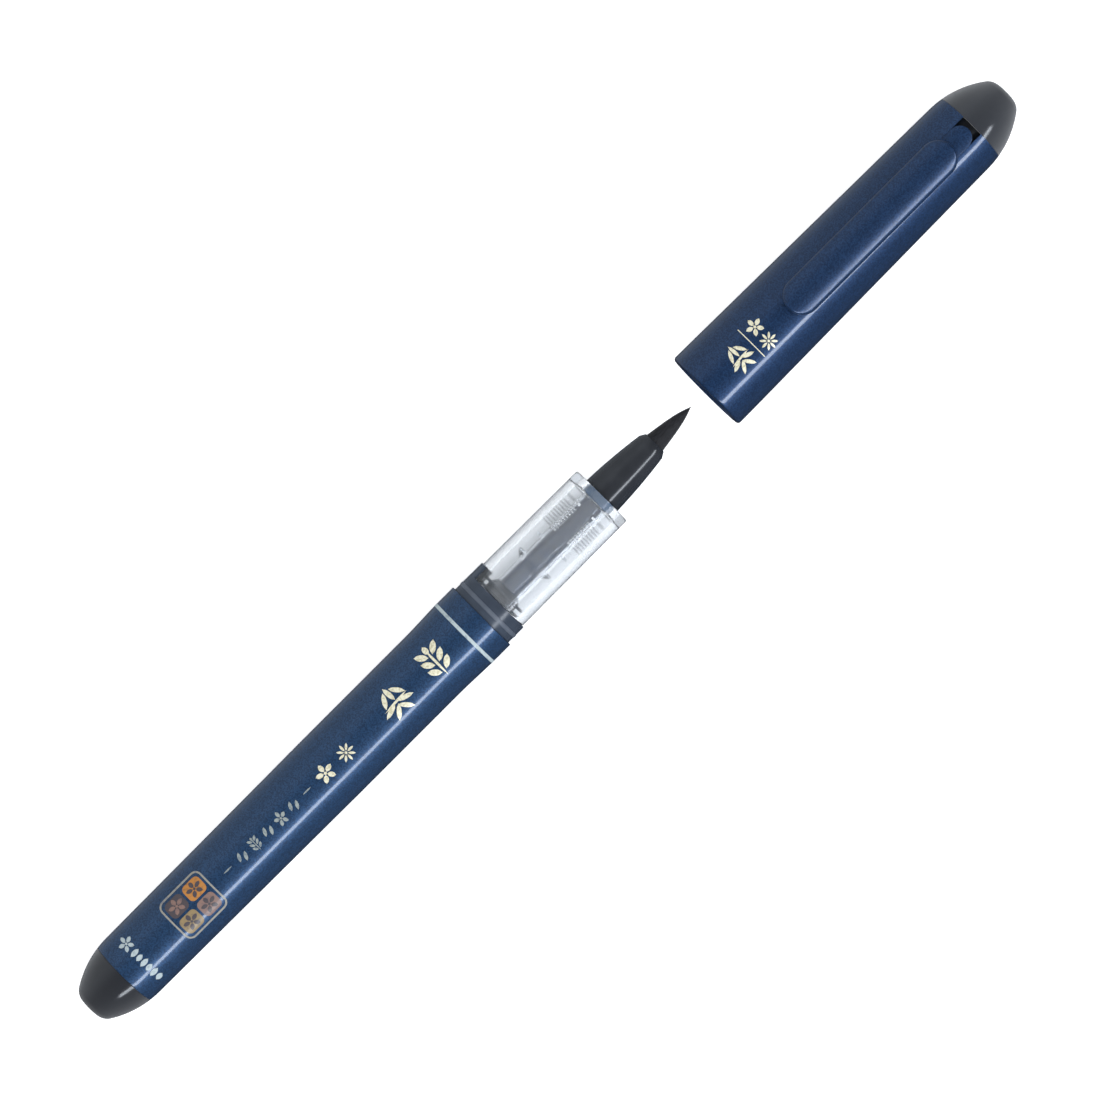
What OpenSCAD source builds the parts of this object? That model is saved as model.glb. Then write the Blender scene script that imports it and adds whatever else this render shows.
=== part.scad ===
// Direct-liquid brush pen with its cap drawn off in line, lying on a table.
//
// The pen lies along X: tail towards -X, writing tip and cap towards +X. The clip and the
// decorated side face +Z, and Z = 0 is the table under the cap, the thickest part.
// X = 0 is the middle of the whole length. Inside the modules every station along the pen is
// measured from the barrel's shoulder, where the mouth of the closed cap comes to rest, and
// every station of a cap piece is measured from the cap's own mouth.

/* [Barrel] */
// Length from the shoulder to the end of the tail
barrel_l = 78.7; // [76:0.1:84]
// Radius of the barrel where the tail's curve begins
barrel_tail_r = 5.385; // [5.35:0.005:5.5]
// Radius of the plain cylindrical stretch that a pen holder grips
barrel_grip_r = 5.575; // [5.5:0.005:5.6]
// Radius of the lip at the shoulder
barrel_lip_r = 5.76; // [5.7:0.01:5.9]
// Radius of the ink tank
tank_r = 4.55; // [4.3:0.05:4.6]

/* [Tail and crown domes] */
// Length of the tail plug that shows
tail_l = 6.9; // [6:0.1:7.5]
// Length of the cap's crown that shows
crown_l = 7.2; // [6:0.1:8]
// Sweep radius of the domes' sides
dome_sweep_r = 14.5; // [14:0.1:18]
// Radius of the domes' blunt corner
dome_corner_r = 2.2; // [2:0.1:2.6]
// Wall of both domes
dome_wall = 1.1; // [0.8:0.1:1.4]

/* [Section] */
// Length of the black collar that shows
collar_l = 3.1; // [2.6:0.1:4]
// Radius of the collar
collar_r = 5.35; // [5.2:0.01:5.38]
// Station of the clear section's front face
section_end = 24.15; // [23.5:0.05:25]
// Radius of the clear section beside the collar
section_rear_r = 5.1; // [5:0.01:5.15]
// Radius of the clear section at its front face
section_front_r = 5.0; // [4.9:0.01:5.05]
// Radius of the feed chamber inside the clear section
chamber_r = 3.75; // [3.7:0.05:3.8]
// Number of fine fins on the collector
fin_count = 9; // [6:1:10]

/* [Tip] */
// Radius of the ferrule at its rear
ferrule_r = 3.1; // [3:0.01:3.2]
// Station of the ferrule's front face
ferrule_end = 34.8; // [34:0.1:36]
// Length of the writing tip ahead of the ferrule
tip_l = 7.2; // [6:0.1:8]
// Radius of the writing tip at the ferrule's mouth
tip_r = 1.6; // [1.5:0.01:1.62]

/* [Cap] */
// How far the cap is drawn off, mouth to shoulder
cap_drawn = 45; // [44:0.5:60]
// Length of the cap with its crown
cap_l = 60.2; // [59.5:0.1:62]
// Radius just behind the mouth
cap_mouth_r = 6.53; // [6.4:0.01:6.7]
// Radius where the crown's curve begins
cap_rear_r = 5.93; // [5.9:0.01:6]
// Bore that passes over the collar
cap_bore_r = 5.5; // [5.45:0.01:5.55]

/* [Clip] */
// Width of the clip
clip_w = 5.5; // [5:0.1:6]
// Station of the clip's free end
clip_start = 16.2; // [14:0.1:20]
// Station of the blade's root end
clip_root = 48.8; // [48:0.1:49]
// Thickness of the blade
clip_t = 1.1; // [0.9:0.05:1.3]
// Gap under the blade for a pocket's edge
clip_gap = 0.8; // [0.6:0.05:1.2]
// Width of the tongue that is let into the cap
tongue_w = 3.4; // [3:0.1:3.8]

/* [Hidden] */

$fn = 96;
eps = 0.01;
dome_steps = 12;

// Whole length, and the shift from the shoulder to the middle of it
crown_end = cap_drawn + cap_l;
mid_x = (crown_end - barrel_l) / 2;
axis_z = cap_mouth_r;

// Barrel stations
tail_joint = tail_l - barrel_l;
tail_full = tail_joint + 1.8;
grip_start = -30;
grip_end = -10;
lip_start = -2.7;
lip_round = 0.25;
plug_seat = tail_joint + 5.8;
plug_r = 4.75;
plug_wall = 0.9;
dome_floor = 0.6;
air_bubble_l = 5;
socket_l = 9;
socket_r = 4.9;

// Section stations and sizes
spigot_l = 7;
spigot_r = 4.3;
collar_bead_r = 5.43;
collar_bead_x = 1.3;
collar_bead_w = 0.6;
collar_tab_end = 5.4;
collar_tab_w = 5.4;
chamber_end = 22.7;
wick_r = 1.65;
wick_front_r = 1.25;
wick_step = 23;
pipe_bore = 1.7;
pipe_r = 2.05;
pipe_start = 5.4;
pipe_flange_x = 10.5;
pipe_flange_r = 3.1;
bung_bore = 1.7;
bung_r = chamber_r - 0.05;
bung_front = 3.6;
bung_disc_x = 4.2;
bung_disc_t = 0.4;
bung_neck_r = 2.7;
seal_start = -8.5;
seal_end = -7.5;
seal_r_in = socket_r - 0.5;
collector_start = 13.8;
collector_r = chamber_r - 0.1;
collector_hub_r = pipe_r + 0.1;
collector_step_r = 2.9;
fin_start = 15.9;
fin_pitch = 0.5;
fin_t = 0.25;
rear_disc_x = 20.75;
front_disc_x = 22.35;
disc_t = 0.4;
comb_groove_w = 3.3;

// Tip stations and sizes
ferrule_spigot_r = 2.6;
ferrule_spigot_l = 1.6;
ferrule_chamfer = 0.85;
ferrule_front_r = 1.77;
ferrule_taper = 0.0285;
ferrule_barrel = 0.00563;
tip_cone = 0.78;
tip_mouth_r = 1.66;
holder_r = 2.0;
holder_start = 24.4;
holder_end = 33.1;

// Cap stations
crown_joint = cap_l - crown_l;
cap_full = crown_joint - 2.3;
mouth_round = 0.5;
liner_start = 24.25;
liner_end = 46.2;
liner_r = 5.0;
liner_wall = 0.8;
crown_spigot_l = 3;

// Clip stations
clip_pad_x = clip_start + 2.6;
clip_pad_r = 1.0;
clip_play = 0.06;
clip_riser = 44;
clip_crown_r = 5.3;
tongue_end = crown_joint - 0.75;
tongue_r_in = 5.1;

// Radius at station x on a dome side that sweeps inwards from full_x
function ogive(x, full_x, full_r, sweep) =
    full_r - sweep + sqrt(sweep * sweep - (x - full_x) * (x - full_x));

// Outline points of a dome side between two stations
function ogive_side(from_x, to_x, full_x, full_r, sweep) = [
    for (i = [0:dome_steps])
        let (x = from_x + (to_x - from_x) * i / dome_steps)
        [x, ogive(x, full_x, full_r, sweep)]
];

// Outline of a whole dome from station from_x to its end on the axis. dir is the way it points.
// The side sweeps in until it meets a corner arc, which runs into a small flat end.
function dome(from_x, end_x, dir, full_x, full_r, sweep, corner) =
    let (
        corner_x = end_x - dir * corner,
        run = abs(corner_x - full_x),
        rise = sqrt(pow(sweep - corner, 2) - run * run),
        corner_y = full_r - sweep + rise,
        meet = atan2(rise, run)
    )
    concat(
        ogive_side(from_x, full_x + dir * sweep * cos(meet), full_x, full_r, sweep),
        [
            for (i = [1:dome_steps])
                let (a = meet * (1 - i / dome_steps))
                [corner_x + dir * corner * cos(a), corner_y + corner * sin(a)]
        ],
        [[end_x, 0]]
    );

// Radius of the cap's outside at a station from its mouth
function cap_r(m) = m < cap_full
    ? cap_mouth_r + (cap_rear_r - cap_mouth_r) * max(m - 1, 0) / (cap_full - 1)
    : ogive(m, cap_full, cap_rear_r, dome_sweep_r);

// A body turned about the pen's axis from an outline of [station, radius] points
module turned(outline) {
    rotate([0, 90, 0]) mirror([1, 0, 0])
        rotate_extrude() polygon([for (p = outline) [p[1], p[0]]]);
}

// A plain tube between two stations
module tube(from_x, to_x, r_out, r_in) {
    turned([[from_x, r_in], [from_x, r_out], [to_x, r_out], [to_x, r_in]]);
}

// A round bar between two stations
module bar(from_x, to_x, r) {
    turned([[from_x, 0], [from_x, r], [to_x, r], [to_x, 0]]);
}

// Moves a pen piece from the shoulder's frame to the part's own
module on_pen() {
    translate([-mid_x, 0, axis_z]) children();
}

// Moves a cap piece from the mouth's frame to the part's own
module on_cap() {
    translate([cap_drawn - mid_x, 0, axis_z]) children();
}

// Lacquered barrel: a long tube that is the ink tank, with a socket at each end
module barrel() {
    color("#1f3a63") on_pen() difference() {
        turned(concat(
            [[tail_joint, 0]],
            ogive_side(tail_joint, tail_full, tail_full, barrel_tail_r, dome_sweep_r),
            [
                [grip_start, barrel_grip_r], [grip_end, barrel_grip_r],
                [lip_start, barrel_lip_r], [-lip_round, barrel_lip_r],
                [0, barrel_lip_r - lip_round], [0, 0]
            ]
        ));
        bar(plug_seat, -socket_l, tank_r);
        bar(tail_joint - eps, plug_seat, plug_r);
        bar(-socket_l, eps, socket_r);
    }
}

// Smoke plug that closes the tail, a hollow dome on a pressed spigot
module tail_plug() {
    color("#35393f") on_pen() difference() {
        union() {
            turned(concat(
                [[tail_joint, 0]],
                dome(tail_joint, -barrel_l, -1, tail_full, barrel_tail_r, dome_sweep_r, dome_corner_r)
            ));
            bar(tail_joint - eps, plug_seat, plug_r);
        }
        turned(concat(
            [[tail_joint - dome_floor, 0]],
            dome(
                tail_joint - dome_floor, dome_wall - barrel_l, -1, tail_full, barrel_tail_r - dome_wall,
                dome_sweep_r - dome_wall, dome_corner_r - dome_wall
            )
        ));
        bar(tail_joint - dome_floor - eps, plug_seat + eps, plug_r - plug_wall);
    }
}

// Liquid ink that fills the tank up to an air bubble at the tail
module ink_charge() {
    color("#0c0d11") on_pen() bar(plug_seat + air_bubble_l, -socket_l, tank_r);
}

// Black bung that closes the tank's front and lets the wick through, with a conical nose
module tank_bung() {
    color("#1b1c20") on_pen() difference() {
        union() {
            bar(-socket_l, -spigot_l, socket_r);
            bar(-spigot_l, bung_front, bung_r);
            turned([
                [bung_front, 0], [bung_front, bung_neck_r], [bung_disc_x, bung_neck_r],
                [bung_disc_x, bung_r], [bung_disc_x + bung_disc_t, bung_r],
                [bung_disc_x + bung_disc_t, bung_neck_r], [pipe_start, pipe_r], [pipe_start, 0]
            ]);
        }
        bar(-socket_l - eps, pipe_start + eps, bung_bore);
        tube(seal_start, seal_end, socket_r + 1, seal_r_in);
    }
}

// Soft ring in the bung's groove that seals it in the barrel
module bung_seal() {
    color("#2c2d30") on_pen() tube(seal_start, seal_end, socket_r, seal_r_in);
}

// Clear pipe round the wick between the bung and the collector, with a coned flange
module feed_pipe() {
    color("#dfe6ec") on_pen() turned([
        [pipe_start, pipe_bore], [pipe_start, pipe_r],
        [pipe_flange_x - 1, pipe_r], [pipe_flange_x, pipe_flange_r],
        [pipe_flange_x + 0.35, pipe_flange_r], [pipe_flange_x + 0.35, pipe_r],
        [collector_start, pipe_r], [collector_start, pipe_bore]
    ]);
}

// Fibre rod that carries the ink from the tank to the writing tip
module ink_wick() {
    color("#26303c") on_pen() union() {
        bar(-socket_l, wick_step, wick_r);
        bar(wick_step - eps, holder_end - 0.2, wick_front_r);
    }
}

// Key tab of the collar: a short stretch of its rim that reaches over the clear section
module collar_tab() {
    intersection() {
        tube(collar_l - 0.5, collar_tab_end, collar_r, section_rear_r + 0.02);
        translate([0, 3, -collar_tab_w / 2]) cube([2 * collar_tab_end, collar_r, collar_tab_w]);
    }
}

// Black collar: a visible band with a snap bead, and a spigot pressed into the barrel
module section_collar() {
    color("#232427") on_pen() union() {
        collar_tab();
        difference() {
            turned([
                [-spigot_l, 0], [-spigot_l, socket_r], [0, socket_r], [0, collar_r],
                [collar_bead_x - collar_bead_w / 2, collar_r],
                [collar_bead_x - collar_bead_w / 4, collar_bead_r],
                [collar_bead_x + collar_bead_w / 4, collar_bead_r],
                [collar_bead_x + collar_bead_w / 2, collar_r],
                [collar_l - 0.15, collar_r], [collar_l, collar_r - 0.15], [collar_l, 0]
            ]);
            bar(-spigot_l - eps, collar_l + eps, spigot_r);
        }
    }
}

// Thick clear section: a see-through feed chamber with a nose wall that holds the ferrule
module clear_section() {
    color("#dfe6ec") on_pen() difference() {
        turned([
            [-spigot_l, 0], [-spigot_l, spigot_r], [collar_l, spigot_r], [collar_l, section_rear_r],
            [section_end - 0.35, section_front_r], [section_end - 0.1, section_front_r - 0.1],
            [section_end, section_front_r - 0.35], [section_end, 0]
        ]);
        bar(-spigot_l - eps, chamber_end, chamber_r);
        bar(chamber_end - eps, section_end + eps, ferrule_spigot_r);
    }
}

// Ink collector: a hub with fine fins that hold spare ink, and two discs at its front. A groove
// runs through the fins above and below the hub.
module collector() {
    color("#e6eaee") on_pen() difference() {
        union() {
            bar(collector_start, chamber_end, collector_hub_r);
            bar(collector_start, collector_start + disc_t, collector_step_r);
            for (i = [0:fin_count - 1])
                bar(fin_start + i * fin_pitch, fin_start + i * fin_pitch + fin_t, collector_r);
            bar(rear_disc_x, rear_disc_x + disc_t, collector_r);
            bar(front_disc_x, chamber_end, collector_r);
        }
        bar(collector_start - eps, chamber_end + eps, pipe_bore);
        for (side = [0, 1])
            mirror([0, 0, side])
                translate([fin_start - 0.5, -comb_groove_w / 2, collector_hub_r])
                    cube([rear_disc_x + disc_t - fin_start + 1, comb_groove_w, collector_r]);
    }
}

// Radius of the ferrule's slightly barrelled outside, s past its rear
function ferrule_side(s) = ferrule_r - ferrule_taper * s - ferrule_barrel * s * s;

// Black ferrule: a tapering nose with a chamfered mouth, on a spigot in the nose wall
module ferrule() {
    side_l = ferrule_end - ferrule_chamfer - section_end;
    color("#1c1d20") on_pen() difference() {
        union() {
            bar(section_end - ferrule_spigot_l + 0.15, section_end + eps, ferrule_spigot_r);
            turned(concat(
                [[section_end, 0]],
                [for (i = [0:8]) [section_end + side_l * i / 8, ferrule_side(side_l * i / 8)]],
                [[ferrule_end, ferrule_front_r], [ferrule_end, 0]]
            ));
        }
        bar(section_end - ferrule_spigot_l, holder_end, holder_r);
        bar(holder_end - eps, ferrule_end + eps, tip_mouth_r);
    }
}

// Sleeve inside the ferrule that centres the wick behind the writing tip
module tip_holder() {
    color("#c9ccd0") on_pen() tube(holder_start, holder_end, holder_r, wick_front_r);
}

// Soft writing tip: a pointed cone on a ball-shaped root that sits in the ferrule's mouth
module brush_tip() {
    color("#141416") on_pen() intersection() {
        union() {
            translate([ferrule_end, 0, 0]) sphere(r = tip_r);
            turned(concat(
                [[ferrule_end, 0]],
                [
                    for (i = [0:10])
                        let (t = i / 10, share = tip_cone * t + (1 - tip_cone) * pow(t, 4))
                        [ferrule_end + tip_l * t, tip_r * (1 - share)]
                ]
            ));
        }
        bar(ferrule_end - tip_r, ferrule_end + tip_l, tip_r);
    }
}

// Outline of the clip seen from above, between two stations of the cap
module clip_outline(from_m, to_m, w) {
    translate([from_m + w / 2, 0]) circle(d = w);
    translate([to_m - w / 2, 0]) circle(d = w);
    translate([from_m + w / 2, -w / 2]) square([to_m - from_m - w, w]);
}

// Opening in the cap's wall for the clip's tongue, with a little side play
module tongue_slot() {
    slot_w = tongue_w + 2 * clip_play;
    translate([clip_riser - clip_play, -slot_w / 2, 3])
        cube([crown_joint - clip_riser + clip_play + eps, slot_w, 8]);
}

// Lacquered cap tube, with a bore for the collar, a seat for the liner and the clip's slot
module cap_tube() {
    color("#1b3358") on_cap() difference() {
        turned(concat(
            [
                [0, 0], [0, cap_mouth_r - mouth_round],
                [mouth_round * 0.29, cap_mouth_r - mouth_round * 0.29], [1, cap_mouth_r]
            ],
            ogive_side(cap_full, crown_joint, cap_full, cap_rear_r, dome_sweep_r),
            [[crown_joint, 0]]
        ));
        bar(-eps, liner_start, cap_bore_r);
        bar(-eps, crown_joint + eps, liner_r);
        tongue_slot();
    }
}

// Smoke crown that closes the cap, a hollow dome on a pressed spigot
module cap_crown() {
    color("#383c42") on_cap() difference() {
        union() {
            turned(concat(
                [[crown_joint, 0]],
                dome(crown_joint, cap_l, 1, cap_full, cap_rear_r, dome_sweep_r, dome_corner_r)
            ));
            bar(crown_joint - crown_spigot_l, crown_joint + eps, liner_r);
        }
        turned(concat(
            [[crown_joint + dome_floor, 0]],
            dome(
                crown_joint + dome_floor, cap_l - dome_wall, 1, cap_full, cap_rear_r - dome_wall,
                dome_sweep_r - dome_wall, dome_corner_r - dome_wall
            )
        ));
        bar(crown_joint - crown_spigot_l - eps, crown_joint + dome_floor + eps, liner_r - plug_wall);
    }
}

// Liner: an inner cup whose lip meets the clear section's front face when the cap is on
module inner_cap() {
    color("#d9dde0") on_cap() difference() {
        bar(liner_start, liner_end, liner_r);
        bar(liner_start - eps, liner_end - 1, liner_r - liner_wall);
    }
}

// A wall of the clip: the ring between two radii above the cap's surface, cut to the outline
// given as children and to the stretch between two stations. Low edges are clearances.
module clip_wall(from_m, to_m, from_low, from_high, to_low, to_high) {
    intersection() {
        turned([[from_m, from_low], [from_m, from_high], [to_m, to_high], [to_m, to_low]]);
        linear_extrude(12) children();
    }
}

// Space below the blade's crowned top: a cylinder that leans with the cap's taper
module clip_crown() {
    run = clip_root - clip_start;
    drop = cap_r(clip_start) - cap_r(clip_root);
    translate([clip_start, 0, cap_r(clip_start) + clip_gap + clip_t - clip_crown_r])
        rotate([0, 90 + atan(drop / run), 0])
            translate([0, 0, -1]) cylinder(r = clip_crown_r, h = run + 2);
}

// Clip: a raised blade with a rounded pad under its free end, a riser at its root, and a
// tongue let into the cap's wall behind it
module cap_clip() {
    start_r = cap_r(clip_start);
    riser_r = cap_r(clip_riser);
    root_r = cap_r(clip_root);
    color("#1b3358") on_cap() union() {
        intersection() {
            clip_wall(
                clip_start, clip_root,
                start_r + clip_gap, start_r + clip_gap + 2 * clip_t,
                root_r + clip_gap, root_r + clip_gap + 2 * clip_t
            )
                clip_outline(clip_start, clip_root, clip_w);
            clip_crown();
        }
        clip_wall(
            clip_riser, clip_root,
            riser_r + clip_play, riser_r + clip_gap + 0.4, root_r + clip_play, root_r + clip_gap + 0.4
        )
            clip_outline(clip_start, clip_root, clip_w);
        clip_wall(clip_riser, cap_full, tongue_r_in, riser_r + 0.3, tongue_r_in, root_r + 0.3)
            intersection() {
                clip_outline(clip_start, clip_root, clip_w);
                translate([clip_riser, -tongue_w / 2]) square([clip_root - clip_riser, tongue_w]);
            }
        intersection() {
            turned(concat(
                [[clip_riser, tongue_r_in], [clip_riser, riser_r]],
                ogive_side(cap_full, tongue_end, cap_full, cap_rear_r, dome_sweep_r),
                [[tongue_end, tongue_r_in]]
            ));
            linear_extrude(12) clip_outline(clip_riser - tongue_w, tongue_end, tongue_w);
        }
        intersection() {
            translate([clip_pad_x, 0, cap_r(clip_pad_x) + clip_gap + 0.25]) sphere(r = clip_pad_r);
            turned([
                [clip_start, start_r + clip_play], [clip_start, start_r + clip_gap + 0.3],
                [clip_riser, riser_r + clip_gap + 0.3], [clip_riser, riser_r + clip_play]
            ]);
        }
    }
}

barrel();
tail_plug();
ink_charge();
tank_bung();
bung_seal();
feed_pipe();
ink_wick();
section_collar();
clear_section();
collector();
ferrule();
tip_holder();
brush_tip();
cap_tube();
cap_crown();
inner_cap();
cap_clip();
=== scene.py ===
"""Looks of a direct-liquid brush pen that lies on a pale table with its cap drawn off in line.

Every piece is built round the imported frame. Stations along the pen are in millimetres: pen
pieces count from the barrel's shoulder, cap pieces from the cap's mouth. Radii are in
millimetres from the pen's axis.
"""

import logging
import math
from dataclasses import dataclass, field
from enum import Enum
from typing import Callable

import bpy
from mathutils import Matrix, Vector

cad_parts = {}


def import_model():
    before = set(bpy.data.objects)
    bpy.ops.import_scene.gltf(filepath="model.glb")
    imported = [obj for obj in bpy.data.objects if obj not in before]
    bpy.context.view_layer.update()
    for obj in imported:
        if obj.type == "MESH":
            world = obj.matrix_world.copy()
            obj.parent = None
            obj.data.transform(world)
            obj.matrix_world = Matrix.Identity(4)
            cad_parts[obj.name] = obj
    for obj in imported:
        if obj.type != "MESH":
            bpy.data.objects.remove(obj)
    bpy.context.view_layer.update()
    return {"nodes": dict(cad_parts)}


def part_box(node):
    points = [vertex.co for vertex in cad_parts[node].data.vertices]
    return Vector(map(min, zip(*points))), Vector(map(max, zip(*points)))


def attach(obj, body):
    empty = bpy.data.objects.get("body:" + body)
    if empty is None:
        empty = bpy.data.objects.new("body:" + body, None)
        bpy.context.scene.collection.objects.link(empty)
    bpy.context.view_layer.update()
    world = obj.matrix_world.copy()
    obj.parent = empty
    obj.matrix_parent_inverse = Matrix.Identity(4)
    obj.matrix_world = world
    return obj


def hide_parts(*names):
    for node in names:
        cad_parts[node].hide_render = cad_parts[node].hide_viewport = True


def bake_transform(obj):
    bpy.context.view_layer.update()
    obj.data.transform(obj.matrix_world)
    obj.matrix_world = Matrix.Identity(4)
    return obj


MM = 0.001
log = logging.getLogger("brush_pen")

Outline = list[tuple[float, float]]
RadiusAt = Callable[[float], float]


# --- modelling bench -------------------------------------------------------------------------


def clear_selection() -> None:
    """Leaves edit mode and deselects every object."""
    if bpy.context.object and bpy.context.object.mode != "OBJECT":
        bpy.ops.object.mode_set(mode="OBJECT")
    bpy.ops.object.select_all(action="DESELECT")


def pick(obj: bpy.types.Object) -> bpy.types.Object:
    """Makes obj the only selected and active object."""
    clear_selection()
    obj.select_set(True)
    bpy.context.view_layer.objects.active = obj
    return obj


def settle(name: str) -> bpy.types.Object:
    """Names the active object and moves its place into its mesh.

    Args:
        name: The piece's name.

    Returns:
        The object, unturned and unscaled at the origin.
    """
    obj = bpy.context.object
    if obj.mode != "OBJECT":
        bpy.ops.object.mode_set(mode="OBJECT")
    bpy.ops.object.transform_apply(location=True, rotation=True, scale=True)
    obj.name = name
    obj.data.name = name
    return obj


def select_by_place(obj: bpy.types.Object, wanted: Callable[[Vector], bool]) -> int:
    """Selects the vertices of obj, in edit mode, whose place passes a test.

    Args:
        obj: The object in edit mode.
        wanted: Takes a vertex's place in the row frame and says whether to select it.

    Returns:
        How many vertices are selected.
    """
    bpy.ops.mesh.select_mode(type="VERT")
    bpy.ops.mesh.select_all(action="DESELECT")
    bpy.ops.object.mode_set(mode="OBJECT")
    count = 0
    for vertex in obj.data.vertices:
        vertex.select = wanted(obj.matrix_world @ vertex.co)
        count += vertex.select
    bpy.ops.object.mode_set(mode="EDIT")
    return count


def select_faces(obj: bpy.types.Object, wanted: Callable[[Vector, Vector], bool]) -> int:
    """Selects the faces of obj, in edit mode, whose centre and normal pass a test.

    Args:
        obj: The object in edit mode.
        wanted: Takes a face's centre and normal and says whether to select it.

    Returns:
        How many faces are selected.
    """
    bpy.ops.mesh.select_mode(type="FACE")
    bpy.ops.mesh.select_all(action="DESELECT")
    bpy.ops.object.mode_set(mode="OBJECT")
    count = 0
    for face in obj.data.polygons:
        face.select = wanted(obj.matrix_world @ face.center, face.normal)
        count += face.select
    bpy.ops.object.mode_set(mode="EDIT")
    return count


def modify(obj: bpy.types.Object, kind: str, **settings: object) -> bpy.types.Object:
    """Adds a modifier to obj, sets it and applies it.

    Args:
        obj: The object to change.
        kind: The modifier's type, such as "BEVEL".
        **settings: Its properties.

    Returns:
        The same object.
    """
    pick(obj)
    bpy.ops.object.modifier_add(type=kind)
    modifier = obj.modifiers[-1]
    for key, value in settings.items():
        setattr(modifier, key, value)
    bpy.ops.object.modifier_apply(modifier=modifier.name)
    return obj


def smooth(obj: bpy.types.Object, edge_mm: float = 0.0, angle: float = 32.0) -> bpy.types.Object:
    """Rounds a piece's sharp edges by a small fillet and shades it smooth.

    Args:
        obj: The piece.
        edge_mm: The fillet's width; 0 leaves the edges sharp.
        angle: The smallest angle, in degrees, that counts as an edge.

    Returns:
        The same object.
    """
    if edge_mm:
        modify(
            obj, "BEVEL", width=edge_mm * MM, segments=3, limit_method="ANGLE",
            angle_limit=math.radians(angle), use_clamp_overlap=True,
        )
    pick(obj)
    bpy.ops.object.shade_smooth_by_angle(angle=math.radians(angle))
    return modify(obj, "WEIGHTED_NORMAL", keep_sharp=True)


def join(pieces: list[bpy.types.Object], name: str) -> bpy.types.Object:
    """Joins several objects into one piece.

    Args:
        pieces: The objects.
        name: The joined piece's name.

    Returns:
        The joined object.
    """
    pick(pieces[0])
    for piece in pieces[1:]:
        piece.select_set(True)
    if len(pieces) > 1:
        bpy.ops.object.join()
    return settle(name)


@dataclass(frozen=True)
class PenLine:
    """A station scale along the pen's axis.

    Attributes:
        zero_x: Where its station 0 lies along X, in metres.
        axis_z: The axis's height over the table, in metres.
    """

    zero_x: float
    axis_z: float

    def x(self, station: float) -> float:
        """The X of a station, in metres."""
        return self.zero_x + station * MM

    def station(self, x: float) -> float:
        """The station of an X, in millimetres."""
        return (x - self.zero_x) / MM

    def radius(self, at: Vector) -> float:
        """A place's distance from the axis, in millimetres."""
        return math.hypot(at.y, at.z - self.axis_z) / MM

    def turn(self, name: str, outline: Outline, steps: int = 128) -> bpy.types.Object:
        """Turns a piece about the axis: draws its outline edge by edge and spins it.

        An outline that starts and ends on the axis is a solid. Any other has to end where it
        starts, and makes a ring.

        Args:
            name: The piece's name.
            outline: (station, radius) points in millimetres.
            steps: Facets round the axis.

        Returns:
            The piece.
        """
        clear_selection()
        start = Vector((self.x(outline[0][0]), 0, self.axis_z + outline[0][1] * MM))
        bpy.ops.mesh.primitive_plane_add(size=0.1 * MM, location=start)
        bpy.ops.object.mode_set(mode="EDIT")
        bpy.ops.mesh.select_mode(type="VERT")
        bpy.ops.mesh.select_all(action="SELECT")
        bpy.ops.mesh.merge(type="CENTER")
        for (from_x, from_r), (to_x, to_r) in zip(outline, outline[1:]):
            step = ((to_x - from_x) * MM, 0, (to_r - from_r) * MM)
            bpy.ops.mesh.extrude_region_move(TRANSFORM_OT_translate={"value": step})
        bpy.ops.mesh.select_all(action="SELECT")
        bpy.ops.mesh.spin(
            steps=steps, angle=math.tau, center=(0, 0, self.axis_z), axis=(1, 0, 0)
        )
        bpy.ops.mesh.select_all(action="SELECT")
        bpy.ops.mesh.remove_doubles(threshold=1e-7)
        bpy.ops.mesh.normals_make_consistent(inside=False)
        return settle(name)

    def drape(self, obj: bpy.types.Object, radius_at: RadiusAt) -> bpy.types.Object:
        """Bends a flat piece down over the pen's round top.

        A vertex's Z is read as its height over the surface, so a slab keeps its thickness and
        its outline seen from above.

        Args:
            obj: The flat piece.
            radius_at: The surface's radius at a station, in millimetres.

        Returns:
            The same object.
        """
        for vertex in obj.data.vertices:
            reach = radius_at(self.station(vertex.co.x)) * MM + vertex.co.z
            vertex.co.z = self.axis_z + math.sqrt(reach * reach - vertex.co.y * vertex.co.y)
        return obj


def slice_across(obj: bpy.types.Object, low: float, high: float, step: float, along: str) -> None:
    """Cuts a piece into strips, so that it can follow a curve.

    Args:
        obj: The piece.
        low: First cut, in metres.
        high: Last cut.
        step: Distance between cuts.
        along: "X" or "Y", the way from cut to cut.
    """
    normal = (1, 0, 0) if along == "X" else (0, 1, 0)
    pick(obj)
    bpy.ops.object.mode_set(mode="EDIT")
    for i in range(int((high - low) / step) + 1):
        at = low + i * step
        bpy.ops.mesh.select_all(action="SELECT")
        bpy.ops.mesh.bisect(plane_co=tuple(at * n for n in normal), plane_no=normal)
    bpy.ops.object.mode_set(mode="OBJECT")


# --- curves of the outlines ------------------------------------------------------------------


def ogive(x: float, full_x: float, full_r: float, sweep: float) -> float:
    """Radius of a dome's side at x, where the side sweeps in from full_x."""
    return full_r - sweep + math.sqrt(sweep * sweep - (x - full_x) ** 2)


def ease(t: float) -> float:
    """Smooth step from 0 to 1."""
    t = min(max(t, 0.0), 1.0)
    return t * t * (3 - 2 * t)


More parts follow.
